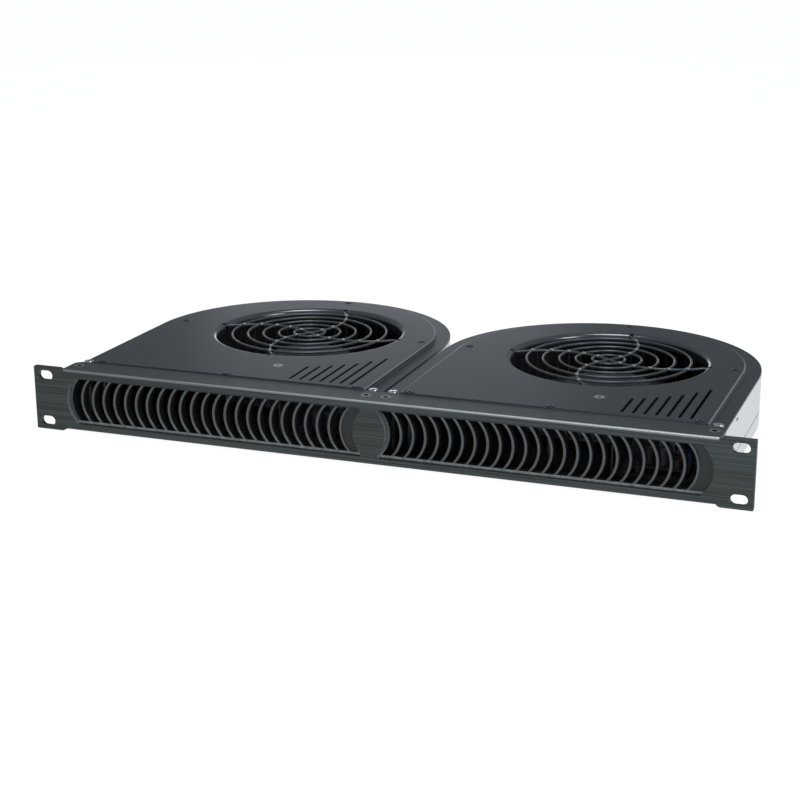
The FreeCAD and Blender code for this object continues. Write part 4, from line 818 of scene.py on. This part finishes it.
@dataclass(frozen=True)
class Screw:
    """One kind of screw, with the top of its head at height zero and its shank down.

    Its default sizes are those of the countersunk screws.
    """

    node: str
    finish: Finish
    slot: str = "zinc_steel"
    head: Head = Head.COUNTERSUNK
    head_r: float = 0.0034
    head_h: float = 0.0015
    shank_r: float = 0.0020
    drive: Drive = Drive.CROSS
    drive_r: float = 0.0020
    pitch: float = 0.0007
    thread_depth: float = 0.00016
    tip_h: float = 0.0003
    tip_share: float = 0.72  # of the radius of the shank
    drive_share: float = 0.65  # of the height of the head
    drive_deepest: float = 0.0014
    bar_share: float = 0.5  # width of a bar of the cross, of the radius of the drive
    bar_taper: float = 0.7
    rim: float = 0.00005  # the painted shade in the drive starts this far down
    recess_reach: float = 1.05  # and out to this share of its radius
    sides: int = 32

    def levels(self, length: float) -> list[tuple[float, float]]:
        """Return the rings of the screw.

        Args:
            length: whole length of the screw.

        Returns:
            Radius and height of each ring, from the tip upwards.
        """
        z = self.tip_h - length
        rings = [(self.shank_r * self.tip_share, -length), (self.shank_r, z)]
        while z + 1.5 * self.pitch < -self.head_h:
            rings.append((self.shank_r - self.thread_depth, z + self.pitch / 2))
            rings.append((self.shank_r, z + self.pitch))
            z += self.pitch
        rings.append((self.shank_r, -self.head_h))
        return rings + [(self.head_r * wide, -self.head_h * deep) for wide, deep in self.head.value]

    def draw(self, length: float) -> Object:
        """Draw the screw up from a circle, ring by ring, and sink its drive into the head.

        Args:
            length: whole length of the screw.

        Returns:
            The screw, standing at the origin.
        """
        rings = self.levels(length)
        piece = Workshop.circle(self.node + "_pattern", *rings[0], self.sides)
        bpy.ops.object.mode_set(mode="EDIT")
        bpy.ops.mesh.select_all(action="SELECT")
        for (r0, z0), (r1, z1) in zip(rings, rings[1:]):
            bpy.ops.mesh.extrude_region_move(TRANSFORM_OT_translate={"value": (0.0, 0.0, z1 - z0)})
            bpy.ops.transform.resize(value=(r1 / r0, r1 / r0, 1.0))
        bpy.ops.object.mode_set(mode="OBJECT")
        for cutter in self.cutters():
            Workshop.cut(piece, cutter)
        return piece

    def cutters(self) -> list[Object]:
        """Make the blocks that cut the drive.

        Returns:
            One hexagon, or two tapered bars that cross.
        """
        depth = min(self.head_h * self.drive_share, self.drive_deepest)
        if self.drive is Drive.HEX:
            return [Workshop.prism("hexagon_cutter", self.drive_r, 6, depth)]
        size = (self.drive_r * 2, self.drive_r * self.bar_share, depth * 2)
        return [Workshop.bar("cross_cutter", size, turn, self.bar_taper) for turn in (0.0, math.pi / 2)]

    def finish_of(self, face: MeshPolygon) -> Finish:
        """Return the finish of a face of the screw.

        Args:
            face: the face.

        Returns:
            The finish of the screw, or painted shade inside its drive.
        """
        place = face.center
        in_drive = place.xy.length < self.drive_r * self.recess_reach and -self.head_h < place.z < -self.rim
        return RECESS_SHADE if in_drive else self.finish


@dataclass(frozen=True)
class Solid:
    """One separate solid of a CAD node: its box, and whether its wide end is up."""

    low: Vector
    high: Vector
    head_up: bool

    @classmethod
    def around(cls, points: list[Vector], end_share: float = 0.1) -> "Solid":
        """Return the solid that has the given points.

        Args:
            points: its vertices.
            end_share: share of its height that counts as an end.

        Returns:
            The solid.
        """
        low = Vector(min(point[axis] for point in points) for axis in range(3))
        high = Vector(max(point[axis] for point in points) for axis in range(3))
        middle = (low + high) / 2
        band = (high.z - low.z) * end_share

        def reach_at(level: float) -> float:
            """Return how far from the axis the end at a level reaches."""
            end = [point for point in points if abs(point.z - level) < band]
            return max((point - middle).xy.length for point in end)

        return cls(low, high, reach_at(high.z) > reach_at(low.z))

    @property
    def length(self) -> float:
        """Return the height of the solid, to a hundredth of a millimetre."""
        return round(self.high.z - self.low.z, 5)

    @property
    def seat(self) -> Matrix:
        """Find the place of a screw whose head fills the wide end of the solid.

        Returns:
            The place and turn of the screw.
        """
        middle = (self.low + self.high) / 2
        if self.head_up:
            return Matrix.Translation((middle.x, middle.y, self.high.z))
        return Matrix.Translation((middle.x, middle.y, self.low.z)) @ Matrix.Rotation(math.pi, 4, "X")


def last_chief(chief: dict[Point, Point], point: Point) -> Point:
    """Find the point that stands for all the points joined to one.

    Args:
        chief: the chief of each point, shortened on the way.
        point: the point to start from.

    Returns:
        The chief that is its own chief.
    """
    while chief[point] != point:
        chief[point] = chief[chief[point]]
        point = chief[point]
    return point


def islands(mesh: Mesh) -> list[list[Vector]]:
    """Part a mesh of loose triangles into its separate surfaces.

    Args:
        mesh: the mesh.

    Returns:
        The points of each surface, to a thousandth of a millimetre.
    """
    points = [tuple(round(value, 6) for value in vertex.co) for vertex in mesh.vertices]
    chief = {point: point for point in points}
    for face in mesh.polygons:
        first, *others = (last_chief(chief, points[index]) for index in face.vertices)
        for other in others:
            chief[other] = first
    groups: dict[Point, list[Vector]] = {}
    for point in chief:
        groups.setdefault(last_chief(chief, point), []).append(Vector(point))
    return list(groups.values())


@dataclass
class Fasteners:
    """The screws of the tray: each kind is modelled once for each length, then copied to its places."""

    wardrobe: Wardrobe
    crease: float = 32.0
    kinds: tuple[Screw, ...] = (
        Screw("lid_screws", BLACK_OXIDE, "black_steel", Head.ROUND, head_r=0.0025, head_h=0.00098,
              shank_r=0.00125, drive=Drive.HEX, drive_r=0.0011, pitch=0.0005, thread_depth=0.0001),
        Screw("earth_screws", BRIGHT_ZINC),
        Screw("corner_screws", BRIGHT_ZINC, head=Head.ROUND, head_r=0.0032, head_h=0.0022, drive_r=0.0011),
        Screw("flange_screws", DULL_ZINC, drive=Drive.HEX, drive_r=0.0019),
        Screw("tray_screws", BRIGHT_ZINC),
        Screw("motor_screws", BRIGHT_ZINC),
    )

    def build(self) -> None:
        """Make every set of screws in place of its CAD node."""
        for kind in self.kinds:
            self.make_set(kind)

    def make_set(self, kind: Screw) -> None:
        """Make one set of screws.

        Args:
            kind: the kind of screw, which names its CAD node.
        """
        solids = [Solid.around(points) for points in islands(NODES[kind.node].data)]
        solids.sort(key=lambda solid: (round(solid.low.x, 4), round(solid.low.y, 4), solid.low.z))
        patterns = {}
        for length in dict.fromkeys(solid.length for solid in solids):
            patterns[length] = kind.draw(length)
            self.wardrobe.paint(patterns[length], (kind.finish, RECESS_SHADE), kind.finish_of)
        copies = [Workshop.copy(patterns[solid.length], solid.seat) for solid in solids]
        for pattern in patterns.values():
            bpy.data.objects.remove(pattern, do_unlink=True)
        piece = Workshop.join(kind.node + "_set", copies, self.crease)
        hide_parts(kind.node)
        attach(piece, "chassis")
        LOG.info("%s: %d screws", piece.name, len(copies))


# ---- guard welds ----
@dataclass
class GuardWelds:
    """The weld nuggets where the rings of one guard cross its swept spokes."""

    wardrobe: Wardrobe
    side: str
    ring_step: float = 0.0111
    ring_count: int = 5
    spoke_count: int = 4
    spoke_end: float = 0.0645
    spoke_lead: float = 40.3  # degrees that a spoke turns on its way out
    nugget_r: float = 0.0016
    nugget_h: float = 0.00105
    nugget_sides: int = 14
    nugget_rings: int = 8
    crown_share: float = 0.85  # the crown is above this share of the height
    dent: float = 0.00026
    proud: float = 0.00012  # of the top of the guard
    crease: float = 50.0

    def crossing(self, radius: float) -> float:
        """Return the angle at which the first spoke passes a radius.

        Args:
            radius: radius of a ring.

        Returns:
            The angle from the x axis, in radians.
        """
        lead = math.radians(self.spoke_lead)
        bend_r = self.spoke_end / (2 * math.sin(lead))
        return math.asin(radius / (2 * bend_r)) - lead

    def nugget(self) -> Object:
        """Model one nugget.

        Returns:
            A squeezed bead whose crown the electrode has pressed in, centred on the origin.
        """
        Workshop.clear_hand()
        bpy.ops.mesh.primitive_uv_sphere_add(segments=self.nugget_sides, ring_count=self.nugget_rings,
                                             radius=self.nugget_r)
        piece = Workshop.settle("weld_nugget")
        bpy.ops.object.mode_set(mode="EDIT")
        bpy.ops.mesh.select_all(action="SELECT")
        bpy.ops.transform.resize(value=(1.0, 1.0, self.nugget_h / self.nugget_r))
        bpy.ops.object.mode_set(mode="OBJECT")
        Workshop.grip(piece, lambda place: place.z > self.nugget_h * self.crown_share)
        bpy.ops.transform.translate(value=(0.0, 0.0, -self.dent))
        bpy.ops.object.mode_set(mode="OBJECT")
        self.wardrobe.dress(piece, WELD_METAL)
        return piece

    def build(self) -> None:
        """Set a nugget on every crossing of the guard."""
        low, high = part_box("fan_guard_" + self.side)
        crown = self.nugget_h - self.dent
        middle = Vector(((low.x + high.x) / 2, (low.y + high.y) / 2, high.z + self.proud - crown))
        pattern = self.nugget()
        copies = []
        for ring in range(1, self.ring_count + 1):
            radius = self.ring_step * ring
            for spoke in range(self.spoke_count):
                angle = self.crossing(radius) + spoke * 2 * math.pi / self.spoke_count
                place = middle + Vector((radius * math.cos(angle), radius * math.sin(angle), 0.0))
                turned = Matrix.Translation(place) @ Matrix.Rotation(angle, 4, "Z")
                copies.append(Workshop.copy(pattern, turned))
        bpy.data.objects.remove(pattern, do_unlink=True)
        piece = Workshop.join("guard_welds_" + self.side, copies, self.crease)
        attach(piece, "chassis")
        LOG.info("%s: %d nuggets", piece.name, len(copies))


# ---- boards and jacks ----
@dataclass
class SpeedBoard:
    """The fan speed board of one module, whose parts are told apart by their places on it."""

    wardrobe: Wardrobe
    side: str
    thickness: float = 0.0016
    solder_h: float = 0.00002
    slack: float = 0.0002  # round the capacitors and the coil
    part_row: float = 0.008
    capacitors_x: tuple[float, float] = (0.008, 0.018)
    capacitor_r: float = 0.0039
    coil_x: float = 0.027
    coil_r: float = 0.0046
    trimmer_x: float = 0.031
    trimmer_y: float = 0.018
    trimmer_half: float = 0.0036
    regulator_x: float = 0.019
    regulator_y: float = 0.0155
    regulator_half: float = 0.0052
    tab_reach: float = 0.0011
    fin_reach: float = 0.0055
    header_back: float = 0.0275
    header_l: float = 0.0062

    @cached_property
    def corner(self) -> Vector:
        """Return the lowest left front corner of the board."""
        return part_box("speed_board_" + self.side)[0]

    def dress(self) -> None:
        """Paint the board part by part."""
        finishes = (BOARD_MASK, SLEEVE, DULL_ZINC, COIL_VARNISH, HEADER_NYLON, TRIMMER_BLUE, HEAT_SINK)
        self.wardrobe.paint(NODES["speed_board_" + self.side], finishes, self.finish_of)

    def finish_of(self, face: MeshPolygon) -> Finish:
        """Return the finish of a face of the board.

        Args:
            face: the face.

        Returns:
            The finish of the part that stands there.
        """
        x, y, z = face.center - self.corner
        if z < self.thickness + self.solder_h:
            return BOARD_MASK
        for capacitor_x in self.capacitors_x:
            if math.hypot(x - capacitor_x, y - self.part_row) < self.capacitor_r + self.slack:
                return DULL_ZINC if face.normal.z > SQUARE else SLEEVE
        if math.hypot(x - self.coil_x, y - self.part_row) < self.coil_r + self.slack:
            return COIL_VARNISH
        if y > self.header_back - self.header_l:
            return HEADER_NYLON
        if max(abs(x - self.trimmer_x), abs(y - self.trimmer_y)) < self.trimmer_half:
            return TRIMMER_BLUE
        along = y - self.regulator_y
        if abs(x - self.regulator_x) < self.regulator_half and -self.tab_reach < along < self.fin_reach:
            return HEAT_SINK
        return BOARD_MASK


@dataclass
class PowerJack:
    """The power jack of one module, with a bright contact pin along the middle of its socket."""

    wardrobe: Wardrobe
    side: str
    bearing: float = 60.0  # degrees from the x axis
    arc_y: float = 0.141
    height: float = 0.005
    pin_r: float = 0.0012

    @cached_property
    def start(self) -> Vector:
        """Return the middle of the housing's round back, from which the jack looks outwards."""
        low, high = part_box("wall_band_" + self.side)
        return Vector(((low.x + high.x) / 2, self.arc_y, self.height))

    @cached_property
    def heading(self) -> Vector:
        """Return the way that the jack looks."""
        angle = math.radians(self.bearing)
        return Vector((math.cos(angle), math.sin(angle), 0.0))

    def dress(self) -> None:
        """Paint the jack, with its pin plated."""
        self.wardrobe.paint(NODES["power_jack_" + self.side], (JACK_PLASTIC, BRIGHT_ZINC), self.finish_of)

    def finish_of(self, face: MeshPolygon) -> Finish:
        """Return the finish of a face of the jack.

        Args:
            face: the face.

        Returns:
            The finish of the pin or body that it is part of.
        """
        out = face.center - self.start
        off_axis = (out - self.heading * out.dot(self.heading)).length
        return BRIGHT_ZINC if off_axis < self.pin_r else JACK_PLASTIC


# ---- floor, lamps and camera ----
@dataclass(frozen=True)
class Lamp:
    """A soft rectangular lamp: its place, its size and its power in watts."""

    name: str
    place: tuple[float, float, float]
    width: float
    height: float
    watts: float

    def hang(self, aim: Vector, tint: tuple[float, float, float]) -> None:
        """Hang the lamp.

        Args:
            aim: the place that it faces.
            tint: colour of its light.
        """
        data = bpy.data.lights.new(self.name, "AREA")
        data.shape = "RECTANGLE"
        data.size = self.width
        data.size_y = self.height
        data.energy = self.watts
        data.color = tint
        lamp = bpy.data.objects.new(self.name, data)
        lamp.location = self.place
        lamp.rotation_euler = (aim - Vector(self.place)).to_track_quat("-Z", "Y").to_euler()
        bpy.context.scene.collection.objects.link(lamp)


@dataclass
class Studio:
    """White studio: floor, world, soft lamps and the camera."""

    eye: tuple[float, float, float] = (0.37888, -0.95402, 0.32916)
    turn: float = 20.605
    tilt: float = 16.717
    roll: float = -0.299
    lens: float = 77.09
    sensor_w: float = 36.0
    floor_side: float = 30.0
    floor_gap: float = 0.0002
    floor_tone: float = 0.90
    floor_rough: float = 0.9
    floor_glow: float = 1.07
    glow_share: float = 0.90
    world_strength: float = 0.25
    tint: tuple[float, float, float] = (0.95, 1.0, 1.05)
    lamps: tuple[Lamp, ...] = (
        Lamp("overhead", (0.05, 0.1, 1.8), 0.7, 0.7, 14.0),
        Lamp("back_strip", (-0.95, 2.5, 0.22), 0.8, 0.36, 1.75),
        Lamp("right_key", (1.5, -0.4, 1.1), 0.6, 0.6, 9.0),
        Lamp("front_fill", (0.42, -1.5, 0.25), 0.8, 0.5, 6.8),
    )

    @property
    def middle(self) -> Vector:
        """Return the middle of the tray."""
        low, high = CAD_BOX
        return (Vector(low) + Vector(high)) / 2

    def camera(self) -> None:
        """Stand the camera at its place."""
        data = bpy.data.cameras.new("camera")
        data.lens = self.lens
        data.sensor_width = self.sensor_w
        camera = bpy.data.objects.new("camera", data)
        aim = (Matrix.Rotation(math.radians(self.turn), 4, "Z")
               @ Matrix.Rotation(math.radians(90 - self.tilt), 4, "X")
               @ Matrix.Rotation(math.radians(self.roll), 4, "Z"))
        camera.matrix_world = Matrix.Translation(self.eye) @ aim
        bpy.context.scene.collection.objects.link(camera)
        bpy.context.scene.camera = camera

    def floor(self) -> None:
        """Lay the floor under the tray."""
        centre = (self.middle.x, self.middle.y, CAD_BOX[0][2] - self.floor_gap)
        bpy.ops.mesh.primitive_plane_add(size=self.floor_side, location=centre)
        plane = bpy.context.object
        plane.name = "floor"
        plane.data.materials.append(self.floor_material())

    def floor_material(self) -> Material:
        """Make the finish of the floor.

        Returns:
            A matt white that partly glows to the camera and in reflections, and still takes shadows.
        """
        material = bpy.data.materials.new("studio_floor")
        material.use_nodes = True
        tree = material.node_tree
        shader = tree.nodes["Principled BSDF"]
        shader.inputs["Base Color"].default_value = (self.floor_tone, self.floor_tone, self.floor_tone, 1.0)
        shader.inputs["Roughness"].default_value = self.floor_rough
        glow = add_node(tree, "Emission", {"Strength": self.floor_glow})
        share = add_node(tree, "Math", {1: self.glow_share}, operation="MULTIPLY")
        mix = add_node(tree, "MixShader")
        tree.links.new(met_by(tree, "Is Camera Ray", "Is Glossy Ray"), share.inputs[0])
        tree.links.new(share.outputs["Value"], mix.inputs["Fac"])
        tree.links.new(shader.outputs["BSDF"], mix.inputs[1])
        tree.links.new(glow.outputs["Emission"], mix.inputs[2])
        tree.links.new(mix.outputs["Shader"], tree.nodes["Material Output"].inputs["Surface"])
        return material

    def world(self) -> None:
        """Give the world plain light, and show it white to the camera and through clear pieces."""
        world = bpy.data.worlds.new("studio_world")
        world.use_nodes = True
        bpy.context.scene.world = world
        tree = world.node_tree
        light = tree.nodes["Background"]
        light.inputs["Color"].default_value = (*self.tint, 1.0)
        light.inputs["Strength"].default_value = self.world_strength
        white = add_node(tree, "Background")
        white.inputs["Color"].default_value = (1.0, 1.0, 1.0, 1.0)
        mix = add_node(tree, "MixShader")
        tree.links.new(met_by(tree, "Is Camera Ray", "Is Transmission Ray"), mix.inputs["Fac"])
        tree.links.new(light.outputs["Background"], mix.inputs[1])
        tree.links.new(white.outputs["Background"], mix.inputs[2])
        tree.links.new(mix.outputs["Shader"], tree.nodes["World Output"].inputs["Surface"])

    def build(self) -> None:
        """Set up the whole studio."""
        self.floor()
        self.world()
        for lamp in self.lamps:
            lamp.hang(self.middle, self.tint)
        self.camera()
        bpy.context.scene.view_settings.view_transform = "Standard"
        LOG.info("studio set up with %d lamps", len(self.lamps))


def main() -> None:
    """Build the studio, then dress and complete every piece."""
    logging.basicConfig(level=logging.INFO, format="%(name)s: %(message)s")
    bpy.ops.object.select_all(action="DESELECT")
    Studio().build()
    wardrobe = Wardrobe()
    wardrobe.dress_frame()
    FrontPanel(wardrobe).dress()
    Fasteners(wardrobe).build()
    for side in SIDES:
        Grille(wardrobe, side).dress()
        Lid(wardrobe, side).dress()
        Shell(wardrobe, "wall_band_" + side, hemmed=False).dress()
        Shell(wardrobe, "bottom_tray_" + side, hemmed=True).dress()
        GuardWelds(wardrobe, side).build()
        SpeedBoard(wardrobe, side).dress()
        PowerJack(wardrobe, side).dress()


if __name__ == "__main__":
    main()
